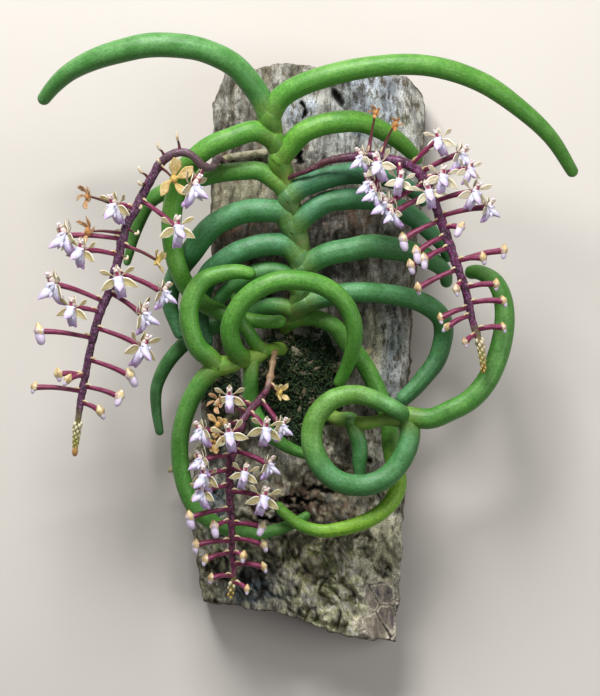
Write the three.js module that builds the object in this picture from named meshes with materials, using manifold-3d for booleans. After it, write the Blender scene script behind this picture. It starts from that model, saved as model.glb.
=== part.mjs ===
// A Cleisostoma arietinum orchid in bloom, grown onto a slab of cork bark.
// Millimetres. The slab lies on its flat back: +Z is out of the bark, +Y towards the tip of the plant.
// The origin is on the slab's back, under the foot of the plant.
import * as THREE from "three";
import { mergeVertices } from "three/addons/utils/BufferGeometryUtils.js";
import Module from "manifold-3d";

// Driving dimensions
const SLAB_THICKNESS = 17;
const SLAB_CROWN = 3; // how much lower the bark is at its long edges than along its middle
const SLAB_RIDGE = 0.7; // half the height of the ridges that run along the bark
const SLAB_GRID = [12, 28]; // relief steps across and along the slab
const GAP = 0.3; // clearance between pieces that touch
const LEAF_STEP = 5.4; // length of one facet along a leaf
const LEAF_SIDES = 7;
const STEM_SIDES = 8;
const STEM_STEP = 4.5;
const STEM_WIDTH = 6;
const SHOOT_WIDTH = 4.4;
const ROOT_WIDTH = 2.6;
const ROOT_SIDES = 6;
const PEDUNCLE_WIDTH = 2.7;
const RACEME_TIP_WIDTH = 1.6;
const RACEME_STEP = 5;
const RACEME_SIDES = 5;
const PEDICEL_WIDTH = 1.15;
const PEDICEL_REACH = 5; // how far a bloom that faces out stands in front of the raceme's axis
const PEDICEL_LEAN = 1.6; // how far the pedicel's root lies back along the axis
const TEPAL_THICKNESS = 0.7;
const BUD_WIDTH = 3;
const BUD_LENGTH = 5.4;

const COLOURS = {
  bark: [0x8f8a78, 0.95],
  moss: [0x2b3423, 1],
  stem: [0x6f8f3a, 0.5],
  youngLeaf: [0x5da13a, 0.4],
  oldLeaf: [0x4a8f66, 0.4],
  root: [0x8d937c, 0.8],
  raceme: [0x8a4a78, 0.6],
};

// The slab's outline, from its bottom left corner up the left edge and round
const SLAB_OUTLINE = [
  [-28.5, -69], [-29.5, -59], [-32, -48], [-31.5, -36], [-29, -22], [-26.5, 0], [-26, 24],
  [-26, 43], [-26, 66], [-22.5, 75], [-15, 76], [-5.5, 77], [12, 75.5], [27, 74], [32, 68],
  [32, 57], [30, 30], [27.5, 0], [26, -36], [25.5, -58], [24, -80], [17, -79.5], [5.5, -77],
  [-6, -72.5], [-18.5, -70],
];

// Stems, as points along their middle
const MAIN_STEM = [
  [-6.5, 5, 16.5], [-5.5, 6.8, 20.5], [-4, 9.5, 24.5], [-2.2, 14.5, 27.3], [-1.7, 24, 30], [-3, 32, 32],
  [-5, 40, 34], [-6.6, 47.5, 36], [-8.1, 54, 38], [-9.8, 60, 40], [-11, 64.5, 41.5],
];
const LEFT_SHOOT = [[-6.5, -0.8, 16.5], [-8.2, -0.2, 23], [-11.5, -1, 27], [-16.5, -3, 29.5], [-21.5, -4.5, 31], [-25.5, -5, 32]];
const RIGHT_SHOOT = [
  [2, -14.5, 15.5], [4.5, -17.2, 20], [7.5, -19, 23], [11.5, -20, 25.8], [16, -20.3, 28],
  [22, -19, 29.5], [27, -18, 31],
];

// Leaves: name, age, widths at the foot, the middle and the end, and points along the middle
const LEAVES = [
  ["leaf_main_1_left", "youngLeaf", [6, 6.6, 3.4],
    [-10.8, 62.5, 41], [-12.8, 67, 42], [-16, 71.5, 44], [-20, 75.5, 46], [-26, 78.5, 47.5], [-31.5, 80, 48],
    [-42, 80.5, 48], [-50, 79, 46.5], [-57, 77, 44], [-63.5, 74, 40.5], [-68, 70.5, 37], [-72, 66, 33]],
  ["leaf_main_1_right", "youngLeaf", [6.2, 5.6, 3.2],
    [-10.5, 61.5, 41], [-7.6, 66.5, 42.5], [-1.5, 70.2, 45], [15, 74.5, 48], [31.5, 75, 49],
    [45.5, 71, 47], [56.5, 64, 43], [65, 56.5, 38], [72, 46.5, 31]],
  ["leaf_main_2_left", "youngLeaf", [5.8, 5.4, 3.4],
    [-8.6, 55.5, 38.8], [-14, 58, 41], [-21, 56, 41.5], [-26, 54, 41], [-29.5, 51.5, 40],
    [-33.5, 47, 37.5], [-36.5, 37, 34.5], [-36.5, 28, 32.3], [-35, 21.5, 31], [-32, 15.5, 29.5],
    [-27.5, 11.5, 28.3], [-22, 9, 28.5], [-15.5, 7.5, 29.5], [-9.5, 7, 31], [-6, 7.5, 32]],
  ["leaf_main_2_right", "youngLeaf", [6, 5.8, 3.2],
    [-8.2, 50, 37.3], [-4.5, 54.5, 39], [-1.5, 57.5, 40.5], [3, 59.5, 41], [8.5, 60.5, 41],
    [14, 60.5, 40], [19.5, 58.5, 38.5], [24.5, 55.5, 36], [30.5, 50, 32]],
  ["leaf_main_3_left", "youngLeaf", [5.2, 4.6, 2],
    [-7, 43.6, 35], [-13, 47.5, 36], [-18.5, 47.5, 35], [-23.5, 47, 33], [-28, 46, 31],
    [-32, 45, 29.5], [-38.5, 42.5, 27.5], [-43, 39.5, 26], [-46.5, 32.5, 23.5], [-49.5, 22.5, 20]],
  ["leaf_main_3_right", "oldLeaf", [5.8, 5.8, 2.8],
    [-5.7, 40, 35], [-2, 43, 36], [3, 45, 36.5], [8.5, 46.5, 36], [14, 47, 34.5],
    [21, 46, 32], [27, 43.5, 28.5], [32, 39, 24]],
  ["leaf_main_4_left", "oldLeaf", [6.2, 6.4, 2.8],
    [-4.4, 33, 32.5], [-7, 36.5, 33.5], [-11, 37, 34], [-15.5, 37, 33.5], [-21, 35.5, 32.5],
    [-25.5, 33, 31.5], [-28.5, 30, 30], [-31.5, 26, 27.5], [-34.5, 22, 24], [-37, 17, 21.5],
    [-37.5, 11.5, 20.5], [-36, 6.5, 20.5], [-34.5, 2.5, 20.5]],
  ["leaf_main_4_right", "oldLeaf", [5.8, 5.8, 2.8],
    [-3.6, 31.5, 32.4], [-1.6, 34.7, 34], [4.5, 39, 35], [10, 40, 35], [17, 40, 33.5],
    [23.5, 38, 31.5], [29, 35, 29.2], [33.5, 31, 26.5], [36.8, 27.6, 23], [38.3, 23.8, 19]],
  ["leaf_main_5_left", "oldLeaf", [6.2, 6.2, 2.6],
    [-2, 24, 30.5], [-5.5, 27.5, 31.5], [-10, 28, 31.5], [-15.5, 27, 31], [-19.5, 25.5, 30.5],
    [-24, 22.5, 29.5], [-27, 19.5, 26.5], [-28.5, 15.5, 23.6], [-29, 11, 22.8], [-28.5, 5, 23.2],
    [-26.5, 0.5, 23.5]],
  ["leaf_main_5_right", "oldLeaf", [6, 6.4, 3],
    [-1.8, 21, 30], [1.5, 23.5, 31], [6, 25.5, 32], [11.5, 26.5, 32], [16.5, 27.5, 31.5],
    [22, 27, 30], [27.5, 26, 27.5], [33, 24, 24], [37, 21, 20], [38, 17, 15.5]],
  ["leaf_main_6_left", "oldLeaf", [5.4, 5.3, 2.4],
    [-1.5, 15, 28.5], [-4.5, 18.5, 29.5], [-8, 20.5, 29.5], [-13, 20.5, 29], [-18.5, 18, 27.5],
    [-22.5, 15, 25], [-24.5, 12, 23.6], [-24, 9, 23]],
  ["leaf_main_6_right", "oldLeaf", [5.6, 5.6, 2.8],
    [-1.5, 12, 27.5], [2, 13, 28.5], [7.5, 14.5, 29], [11.5, 15, 29], [17, 15, 28.5],
    [22, 14.5, 27.5], [27.5, 13.5, 26], [32.5, 11.5, 24], [36, 8.5, 21.5], [37, 5, 19.5],
    [36.5, 1, 18.5], [35, -3.5, 18.5], [32, -7.5, 19], [28.5, -11.5, 20], [24.5, -15, 21]],
  ["leaf_main_7_left", "oldLeaf", [4.6, 4.2, 2.2],
    [-3.5, 10, 25.2], [-6, 11.2, 25.8], [-9.5, 11.5, 25], [-13.5, 10.5, 22.8], [-18.5, 8, 20.5],
    [-24, 6.5, 18.8], [-30.5, 3.5, 17], [-35, 0, 15], [-39, -5, 13.5], [-41.5, -11, 12.5],
    [-41.5, -17.5, 12], [-40.5, -24, 11.5]],
  ["leaf_main_7_right", "youngLeaf", [4.8, 4.8, 2.8],
    [-4.5, 7.6, 22.6], [-1, 8.4, 23.5], [3.5, 7.7, 24.9], [7.5, 5.5, 25.5], [10.5, 1.5, 25],
    [14, -2.5, 24.5], [17, -7.5, 24], [19.5, -13, 22.8], [22, -19.5, 22], [22.5, -26.5, 22],
    [23.5, -32, 22.8], [24.5, -36.5, 24.5], [23, -41, 26.5], [19, -45, 27.5], [14, -47.5, 28],
    [8.5, -49, 28], [3.5, -49.5, 27.5], [-2, -48, 27], [-6, -45, 27], [-9, -42, 26.5]],
  ["leaf_left_1", "youngLeaf", [5.4, 5.3, 3.2],
    [-24.5, -5, 31.5], [-26.7, -2.5, 33], [-29.5, 0, 35], [-31.5, 5, 36.3], [-32, 10, 36.8],
    [-30.5, 15, 37], [-27.5, 18.5, 37], [-23, 20, 37.3], [-18.5, 20.5, 37.5], [-14, 19.5, 37]],
  ["leaf_left_2", "youngLeaf", [5.2, 4.6, 2.4],
    [-24.5, -5, 31.5], [-27.5, -7.5, 31.5], [-30, -11, 31], [-32.5, -16, 30], [-34.5, -23.5, 28.5],
    [-34.5, -31.5, 27], [-33, -38.5, 25.8], [-30.5, -43.5, 25], [-26.5, -47, 24.3],
    [-20.5, -49.5, 23.5], [-14.5, -50.5, 23], [-9, -49.5, 22.3], [-4.5, -48, 21.8], [0.5, -45, 21.8]],
  ["leaf_left_3", "youngLeaf", [5.2, 5.3, 3.2],
    [-17, -3.2, 29.6], [-19, -1.5, 33], [-20.5, 1.5, 35.5], [-21, 5.5, 37.5], [-19.5, 9.5, 39],
    [-17, 13, 40], [-13, 16, 40.8], [-7.5, 18, 41.2], [-2, 18, 41.2], [3, 17, 40.8], [8, 14, 39.8],
    [11, 10, 38], [12.5, 5, 36], [12, -0.5, 33], [10.5, -5, 29.5], [8, -10.5, 26]],
  ["leaf_left_4", "youngLeaf", [4.4, 4.2, 2.4],
    [-15, -2.5, 29], [-15.5, -6.5, 29.5], [-15.5, -10.5, 28.5], [-15.5, -14.5, 27], [-14, -18.5, 26],
    [-11, -22.5, 25.5], [-7, -26, 25], [-3, -28, 24.5], [1, -29.5, 24]],
  ["leaf_left_5", "youngLeaf", [3.8, 3.8, 2],
    [-11.5, -1, 27.5], [-14, 1, 30], [-16, 4, 32.3], [-18, 7, 33.2], [-19, 11, 33.5], [-20, 15, 33]],
  ["leaf_right_1", "youngLeaf", [5.6, 5.8, 3.6],
    [26.5, -18.5, 31], [33, -19, 32.5], [38, -17, 33.5], [43.5, -14, 34], [48, -9, 34],
    [51.5, -1, 33], [53, 7.5, 32], [52.5, 13.5, 30.5], [50.5, 18, 28], [46.5, 20.5, 24.5],
    [43.5, 20.5, 20]],
  ["leaf_right_2", "oldLeaf", [5.7, 5.9, 4.3],
    [26.5, -18.5, 30.8], [27.5, -22.5, 31.5], [26.5, -27.5, 32], [23.5, -32.5, 32], [19, -36, 32.3],
    [13, -37, 32.7], [7.5, -35.5, 33], [3, -31, 33.2], [1, -25, 33.5], [2, -19, 33.8], [6.5, -14, 34],
    [13, -12.5, 34.3], [19.5, -14.5, 34.5], [23.5, -16.5, 35.5]],
  ["leaf_right_3", "oldLeaf", [4.2, 4.3, 2.6],
    [11.5, -19, 26], [12.5, -22, 26.5], [14, -26.5, 26], [14, -31.5, 25], [14.5, -36.5, 24]],
];

// Roots that hold the plant to the bark
const ROOTS = [
  ["root_upper", [-7.5, 50.5, 34.5], [-8.8, 52.5, 26], [-11, 53.2, 19.5], [-15, 52.8, 18.3],
    [-19.5, 52.4, 17.2], [-24, 51.4, 15.8]],
  ["root_left", [-8.5, -2, 19.5], [-10.5, -5.5, 18], [-16, -11.5, 17.5], [-21, -18, 16.5],
    [-27.5, -25, 14.5], [-32, -30, 12], [-36, -32.5, 10.5], [-38.5, -34, 10]],
  ["root_right", [-4.8, -0.6, 19.5], [0, -2.5, 18.3], [7.5, -5, 17.5], [12, -3.5, 17.5], [17.5, -0.5, 16.5]],
];

// Moss cushions on the bark: name, centre, and half widths and height
const MOSS = [
  ["moss_centre", [-2, -10.5], [12.5, 16, 4.5]],
  ["moss_left", [-23, -12], [5, 7.5, 4]],
];

// Racemes. The flower size is a share of the full-grown bloom. A bloom or bud is given by its place in
// the front view and how far it turns to the side, in degrees, with 0 facing out and 90 facing right;
// a wilted bloom is a small crumpled one.
const RACEMES = [
  {
    name: "raceme_left",
    flowerSize: 0.88,
    axis: [
      [-6.8, 48, 33.5], [-9.5, 48.5, 30.5], [-12.5, 48, 29.8], [-17, 48, 29.6], [-21.5, 49, 29.6],
      [-23.6, 50.8, 31], [-24.4, 50.8, 34], [-24.8, 49.8, 37.3], [-26, 48.2, 41.4], [-28.2, 48.6, 44.6],
      [-30, 50.5, 46],
      [-32, 51.8, 46.5], [-35, 52, 46], [-38.8, 49.8, 45.2], [-41.6, 45.5, 44.6], [-43.8, 41.5, 44],
      [-45.6, 38, 44], [-48.7, 32, 44],
      [-50.5, 24.5, 44], [-53, 15, 43.5], [-55, 11, 43.5], [-57, 4.5, 43], [-59.5, -7, 42],
      [-61.5, -19, 41], [-62.5, -29, 40],
    ],
    blooms: [
      [-51, 38, -30], [-64, 30, -60], [-60, 26, -20], [-50.5, 18.5, 0], [-67, 17, -55],
      [-62.5, 10.5, -15], [-44.5, 9, 50], [-44.5, 0.5, 30], [-39, 15, 50], [-35, 32, 15], [-31, 43, 45],
    ],
    wilted: [[-58.5, 40.5, -40], [-58.5, 31, -30], [-40.5, 23.5, 50], [-36, 45, 20]],
    buds: [
      [-71.5, 4.5, -60], [-47.5, -7.5, 40], [-50.5, -13, 40], [-55.5, -17, 20], [-66.5, -7, -20],
      [-64, -8.5, -10], [-73, -10.5, -60],
    ],
  },
  {
    name: "raceme_right",
    flowerSize: 0.76,
    axis: [
      [-6.5, 45, 36.5], [-3, 46.5, 39], [0, 47.5, 40.5], [4, 49.5, 41.5], [8, 50.5, 42.5],
      [12.5, 51, 43.5], [17.5, 51, 44.5], [23, 50, 45], [27.5, 48.5, 45], [31, 45, 45],
      [33, 40.5, 45], [36, 32.5, 44.5], [39, 24, 44], [42, 15.5, 43], [44, 7, 42], [46, 1, 41.5],
      [47, -6, 41],
    ],
    blooms: [
      [15, 51, -60], [19, 49, -20], [24.5, 44.5, -5], [35, 55.5, -15], [40, 51.5, 55],
      [42.5, 47.5, 25], [32, 41.5, 0], [44, 41.5, 20], [47.5, 37.5, 50], [18.5, 41.5, -65],
      [21.5, 38.5, -60], [23, 36, -45], [17, 44, -80], [35.5, 45.5, 10],
    ],
    wilted: [[18, 63, -10], [23, 59.5, 10]],
    buds: [
      [25.5, 29, -50], [29, 25.5, -20], [40.5, 32, 10], [31, 23.5, -10], [27.5, 22, -40],
      [52, 26, 60], [46.5, 24, 30], [29.5, 16, -50], [39.5, 15.5, 0], [50, 17, 50], [52, 12.5, 60],
      [35.5, 8, -50], [37, 5.5, -30], [52, 5.5, 60], [42, 1.5, -10],
    ],
  },
  {
    name: "raceme_bottom",
    flowerSize: 0.76,
    axis: [
      [-9, -1, 27], [-9.5, -3.5, 30], [-10, -7, 32], [-11, -11, 34], [-13, -14, 36.5],
      [-15.5, -16.5, 38.5], [-17.5, -19.5, 40], [-19, -24.5, 40], [-20.5, -28.5, 39.5],
      [-21, -32.5, 38.5], [-21, -40.5, 36.5], [-20.5, -49, 34], [-20.5, -55.5, 32],
      [-20, -61, 30.5], [-21, -67, 29.5],
    ],
    blooms: [
      [-21, -13, 0], [-21, -23, 0], [-17, -33.5, 5], [-28, -22, -45], [-11.5, -21.5, 10],
      [-7.5, -21, 45], [-28, -30, -50], [-27, -34, -30], [-11, -31, 50], [-28, -38.5, -30],
      [-12, -40, 10],
    ],
    wilted: [[-24, -14.5, -30], [-8, -12, 30], [-24, -20.5, -20], [-24.5, -25, -20]],
    buds: [
      [-31.5, -45.5, -60], [-25, -48, -20], [-12.5, -48, 30], [-30, -53, -60], [-12, -53, 40],
      [-17.5, -56, 10], [-27.5, -57, -50], [-12, -59, 40], [-26, -62, -50], [-16.5, -65, 20],
    ],
  },
];

const wasm = await Module();
wasm.setup();

// A closed geometry as a solid that can be joined and cut
function solidOf(geometry) {
  const bare = geometry.clone();
  bare.deleteAttribute("normal");
  bare.deleteAttribute("uv");
  const merged = mergeVertices(bare, 1e-4);
  return new wasm.Manifold(
    new wasm.Mesh({
      numProp: 3,
      vertProperties: merged.getAttribute("position").array,
      triVerts: new Uint32Array(merged.index.array),
    }),
  );
}

// The largest body of a solid: sealed hollows are filled and loose scraps dropped
function mainBody(solid) {
  return solid.decompose().reduce((most, body) => (body.volume() > most.volume() ? body : most));
}

function geometryOf(solid) {
  const { vertProperties, triVerts } = solid.getMesh();
  const geometry = new THREE.BufferGeometry();
  geometry.setAttribute("position", new THREE.BufferAttribute(vertProperties, 3));
  geometry.setIndex(new THREE.BufferAttribute(triVerts, 1));
  return geometry;
}

function fuse(solids) {
  return solids.reduce((whole, piece) => whole.add(piece));
}

// A node of the part, in its finish, facet by facet
function piece(name, solid, finish) {
  const [color, roughness] = COLOURS[finish];
  const geometry = geometryOf(mainBody(solid)).toNonIndexed();
  geometry.computeVertexNormals();
  const material = new THREE.MeshStandardMaterial({ color, roughness, metalness: 0 });
  const mesh = new THREE.Mesh(geometry, material);
  mesh.name = name;
  return mesh;
}

function indexed(corners, faces) {
  const geometry = new THREE.BufferGeometry().setFromPoints(corners);
  geometry.setIndex(faces.flat());
  return geometry;
}

function pathThrough(points) {
  const places = points.map((point) => new THREE.Vector3(...point));
  return new THREE.CatmullRomCurve3(places, false, "centripetal");
}

// A closed tube along a path, whose radius follows its length from 0 to 1
function tube(path, step, sides, radiusAt) {
  const steps = Math.ceil(path.getLength() / step);
  const { normals, binormals } = path.computeFrenetFrames(steps, false);
  const corners = [];
  const faces = [];
  for (let i = 0; i <= steps; i++) {
    const centre = path.getPointAt(i / steps);
    for (let j = 0; j < sides; j++) {
      const turn = (j / sides) * 2 * Math.PI;
      const radius = radiusAt(i / steps);
      corners.push(
        centre
          .clone()
          .addScaledVector(normals[i], radius * Math.cos(turn))
          .addScaledVector(binormals[i], radius * Math.sin(turn)),
      );
    }
  }
  const foot = corners.push(path.getPointAt(0)) - 1;
  const end = corners.push(path.getPointAt(1)) - 1;
  for (let j = 0; j < sides; j++) {
    const next = (j + 1) % sides;
    for (let i = 0; i < steps; i++) {
      const [a, b] = [i * sides + j, i * sides + next];
      faces.push([a, b, a + sides], [b, b + sides, a + sides]);
    }
    faces.push([foot, next, j], [end, steps * sides + j, steps * sides + next]);
  }
  return solidOf(indexed(corners, faces));
}

// A leaf is a long round horn: it thins evenly to its end and closes in a blunt tip
function leafRadius([foot, middle, end]) {
  return (along) => {
    if (along > 0.99) return end / 4;
    return (along < 0.5 ? mix(foot, middle, along * 2) : mix(middle, end, (along * 2 - 1) ** 1.6)) / 2;
  };
}

function mix(from, to, share) {
  return from + (to - from) * share;
}

// A stem swells a little at each pair of leaves and narrows to its tip
function stemSolid(points, width) {
  return tube(pathThrough(points), STEM_STEP, STEM_SIDES, stemRadius(width));
}

function stemRadius(width) {
  return (along) => (width / 2) * Math.min(1, 0.8 + along, 0.62 + (1 - along));
}

// A tube's space with its clearance all round, for cutting what seats on it
function roomOf(points, step, sides, radiusAt) {
  const places = points.map((point) => new THREE.Vector3(...point));
  const beyond = (end, inner) => end.clone().add(end.clone().sub(inner).setLength(GAP));
  const ends = [beyond(places[0], places[1]), beyond(places.at(-1), places.at(-2))];
  const path = new THREE.CatmullRomCurve3([ends[0], ...places, ends[1]], false, "centripetal");
  return tube(path, step, sides, (along) => radiusAt(along) + GAP);
}

// The height of the bark above the slab's back: crowned, with ridges along it and cracks across
function barkHeight(x, y) {
  const crown = SLAB_THICKNESS - SLAB_CROWN * (x / 28) ** 2;
  const ridges = SLAB_RIDGE * Math.sin(x * 0.75 + 1.4 * Math.sin(y * 0.07));
  const cracks = 0.5 * SLAB_RIDGE * Math.sin(y * 0.42 + x * 0.21);
  return crown + ridges + cracks;
}

function slabSolid() {
  const outline = new THREE.Shape().setFromPoints(SLAB_OUTLINE.map(([x, y]) => new THREE.Vector2(x, y)));
  const block = new THREE.ExtrudeGeometry(outline, { depth: 2 * SLAB_THICKNESS, bevelEnabled: false });
  const relief = new THREE.BoxGeometry(80, 180, 4 * SLAB_THICKNESS, ...SLAB_GRID, 1);
  const corners = relief.getAttribute("position");
  for (let i = 0; i < corners.count; i++) {
    if (corners.getZ(i) > 0) corners.setZ(i, barkHeight(corners.getX(i), corners.getY(i)));
  }
  return solidOf(block).intersect(solidOf(relief));
}

// A cushion with a lumpy top, cut to sit on the bark
function mossSolid([x, y], [halfWidth, halfLength, height]) {
  const geometry = new THREE.SphereGeometry(1, 11, 6);
  geometry.rotateX(Math.PI / 2);
  const corners = geometry.getAttribute("position");
  for (let i = 0; i < corners.count; i++) {
    const [u, v] = [corners.getX(i), corners.getY(i)];
    const lump = 1 + 0.12 * Math.sin(5 * u + 2 * v) * Math.cos(4 * v - u);
    corners.setXYZ(i, x + u * halfWidth * lump, y + v * halfLength * lump, corners.getZ(i) * height * lump);
  }
  geometry.translate(0, 0, barkHeight(x, y) - 1);
  return solidOf(geometry);
}

// A closed shape between a ring of points and one point in front of it and one behind
function facetedKnob(ring, front, back) {
  const corners = [...ring, front, back].map((point) => new THREE.Vector3(...point));
  const faces = [];
  ring.forEach((_, i) => {
    const next = (i + 1) % ring.length;
    faces.push([i, next, ring.length], [next, i, ring.length + 1]);
  });
  return indexed(corners, faces);
}

// A bloom's lobes: angle, length, half width, and how far the tip comes forward. The first is the lip,
// then the lateral sepal, petal, dorsal sepal, petal and lateral sepal.
const LOBES = [
  [-90, 5.4, 1.5, 2],
  [-28, 5.7, 1.4, -0.4],
  [36, 5.8, 0, 0.8],
  [90, 4.8, 0, -0.6],
  [144, 5.8, 0, 0.8],
  [208, 5.7, 1.4, -0.4],
];
const NOTCH = 1.6;
const COLUMN = [0, 1.5, 2.5];
const BLOOM_BACK = [0, 0, -1];

// All lobes in one blade: a ring through their tips, their widest points and the notches between
function bloomBlade() {
  const point = (degrees, radius, z) => {
    const turn = THREE.MathUtils.degToRad(degrees);
    return [radius * Math.cos(turn), radius * Math.sin(turn), z];
  };
  const ring = LOBES.flatMap(([angle, length, half, forward], i) => {
    const nextAngle = LOBES[(i + 1) % LOBES.length][0];
    const between = nextAngle > angle ? nextAngle - angle : nextAngle + 360 - angle;
    const notch = point(angle + between / 2, NOTCH, 0);
    const tip = point(angle, length, forward);
    if (half === 0) return [tip, notch];
    const spread = THREE.MathUtils.radToDeg(half / (0.6 * length));
    const widest = [-spread, spread].map((turn) => point(angle + turn, 0.6 * length, 0.4 * forward));
    return [widest[0], tip, widest[1], notch];
  });
  const count = ring.length;
  const shifted = (by) => ring.map(([x, y, z]) => [x, y, z + by]);
  const corners = [...shifted(TEPAL_THICKNESS / 2), ...shifted(-TEPAL_THICKNESS / 2), COLUMN, BLOOM_BACK];
  const faces = [];
  for (let i = 0; i < count; i++) {
    const next = (i + 1) % count;
    faces.push([2 * count, i, next], [2 * count + 1, count + next, count + i]);
    faces.push([i, count + i, next], [next, count + i, count + next]);
  }
  return indexed(corners.map((place) => new THREE.Vector3(...place)), faces);
}

const BLOOM = bloomBlade();

// A wilted bloom is a twisted knob with a few shrunken tips
const WILTED = facetedKnob(
  [[2.4, 1.4, 0.6], [0.4, 0.9, 0.3], [-1.2, 2.6, -0.2], [-1.1, 0, 0.4], [-2.3, -1.6, -0.3], [0, -1.2, 0.5],
    [1.3, -2.6, 0.3], [1, -0.2, -0.2]],
  [0.1, 0.1, 1.5],
  [-0.1, -0.2, -1.3],
);

// A bud is an upright spindle, widest above its middle
function budKnob() {
  const ring = (radius, z) =>
    [0, 1, 2, 3].map((i) => [radius * Math.cos(i * 0.5 * Math.PI), z, -radius * Math.sin(i * 0.5 * Math.PI)]);
  const [upper, lower] = [ring(BUD_WIDTH / 2, 0.14 * BUD_LENGTH), ring(0.34 * BUD_WIDTH, -0.3 * BUD_LENGTH)];
  const corners = [...upper, ...lower, [0, 0.48 * BUD_LENGTH, 0], [0, -0.52 * BUD_LENGTH, 0]];
  const faces = [];
  for (let i = 0; i < 4; i++) {
    const next = (i + 1) % 4;
    faces.push([8, i, next], [i, i + 4, next], [next, i + 4, next + 4], [next + 4, i + 4, 9]);
  }
  return indexed(corners.map((point) => new THREE.Vector3(...point)), faces);
}

const BUD = budKnob();

// Where a bloom sits: in front of the axis by its reach, and turned to face outwards
function placeBloom(axis, [x, y, turn], index, reach) {
  const samples = 90;
  let nearest = 0;
  for (let i = 1; i <= samples; i++) {
    const [here, best] = [axis.getPointAt(i / samples), axis.getPointAt(nearest)];
    if (Math.hypot(here.x - x, here.y - y) < Math.hypot(best.x - x, best.y - y)) nearest = i / samples;
  }
  const root = axis.getPointAt(Math.max(0, nearest - PEDICEL_LEAN / axis.getLength()));
  const side = THREE.MathUtils.degToRad(turn);
  const roll = 0.22 * Math.sin(index * 2.4);
  const centre = new THREE.Vector3(x, y, root.z + reach * Math.cos(side));
  const facing = new THREE.Euler(0.12 + 0.1 * Math.cos(index * 1.7), side, roll, "YXZ");
  return { root, centre, facing };
}

function placed(geometry, { centre, facing }, size) {
  const turned = new THREE.Matrix4().makeRotationFromEuler(facing);
  const shape = geometry.clone().scale(size, size, size).applyMatrix4(turned);
  return solidOf(shape.translate(centre.x, centre.y, centre.z));
}

function pedicel({ root, centre }) {
  const bend = root.clone().lerp(centre, 0.6);
  bend.y += 0.4;
  const path = new THREE.CatmullRomCurve3([root, bend, centre], false, "centripetal");
  return tube(path, PEDICEL_REACH, 3, () => PEDICEL_WIDTH / 2);
}

function racemeSolid({ flowerSize, axis: points, blooms, wilted, buds }) {
  const axis = pathThrough(points);
  const width = (along) => mix(PEDUNCLE_WIDTH, RACEME_TIP_WIDTH, along ** 3) / 2;
  const solids = [tube(axis, RACEME_STEP, RACEME_SIDES, width)];
  const add = (places, geometry, reach, sizeAt) =>
    places.forEach((place, i) => {
      const spot = placeBloom(axis, place, i, reach);
      solids.push(placed(geometry, spot, sizeAt(i)), pedicel(spot));
    });
  add(blooms, BLOOM, PEDICEL_REACH, (i) => flowerSize * (1 + 0.1 * Math.sin(i * 2.1)));
  add(wilted, WILTED, 0.6 * PEDICEL_REACH, () => 1);
  add(buds, BUD, 0.7 * PEDICEL_REACH, (i) => (0.1 + flowerSize) * (1 - 0.35 * (i / buds.length)));
  return fuse(solids);
}

const part = new THREE.Group();
const slab = slabSolid();
const bed = slab.scale([1.012, 1.004, 1]).translate(0, 0, GAP);
const stems = [
  ["stem_main", MAIN_STEM, STEM_WIDTH],
  ["stem_left_shoot", LEFT_SHOOT, SHOOT_WIDTH],
  ["stem_right_shoot", RIGHT_SHOOT, SHOOT_WIDTH],
];
// The stems with their clearance, for cutting what seats on them
const stemRoom = stems.map(([, points, width]) => roomOf(points, STEM_STEP, STEM_SIDES, stemRadius(width)));
const clearOf = (solid, rooms) => rooms.reduce((rest, room) => rest.subtract(room), solid);

part.add(piece("bark_slab", slab, "bark"));
stems.forEach(([name, points, width], i) => {
  const rooms = i === 0 ? [bed] : [bed, stemRoom[0]];
  part.add(piece(name, clearOf(stemSolid(points, width), rooms), "stem"));
});
// Two leaves of a pair share a cleft, so each leaf is cut clear of the one listed before it
let pairRoom = [];
for (const [name, age, widths, ...points] of LEAVES) {
  const leaf = tube(pathThrough(points), LEAF_STEP, LEAF_SIDES, leafRadius(widths));
  part.add(piece(name, clearOf(leaf, [...stemRoom, ...pairRoom]), age));
  pairRoom = [roomOf(points, LEAF_STEP, LEAF_SIDES, leafRadius(widths))];
}
const rootRadius = (along) => mix(1, 0.6, along ** 4) * (ROOT_WIDTH / 2);
for (const [name, ...points] of ROOTS) {
  const root = tube(pathThrough(points), STEM_STEP, ROOT_SIDES, rootRadius);
  part.add(piece(name, clearOf(root, [bed, ...stemRoom]), "root"));
}
const rootRoom = ROOTS.map(([, ...points]) => roomOf(points, STEM_STEP, ROOT_SIDES, rootRadius));
for (const [name, centre, size] of MOSS) {
  part.add(piece(name, clearOf(mossSolid(centre, size), [bed, ...stemRoom, ...rootRoom]), "moss"));
}
for (const raceme of RACEMES) {
  part.add(piece(raceme.name, clearOf(racemeSolid(raceme), stemRoom), "raceme"));
}

export default part;
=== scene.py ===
"""A Cleisostoma arietinum orchid in bloom on a slab of cork bark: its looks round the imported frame.

Shapes are worked out in millimetres and stored in metres. The slab lies on its flat back: +Z is out of
the bark, +Y towards the tip of the plant.
"""

import itertools
import logging
import math
from dataclasses import dataclass, field
from enum import Enum
from typing import Iterable, Sequence

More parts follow.
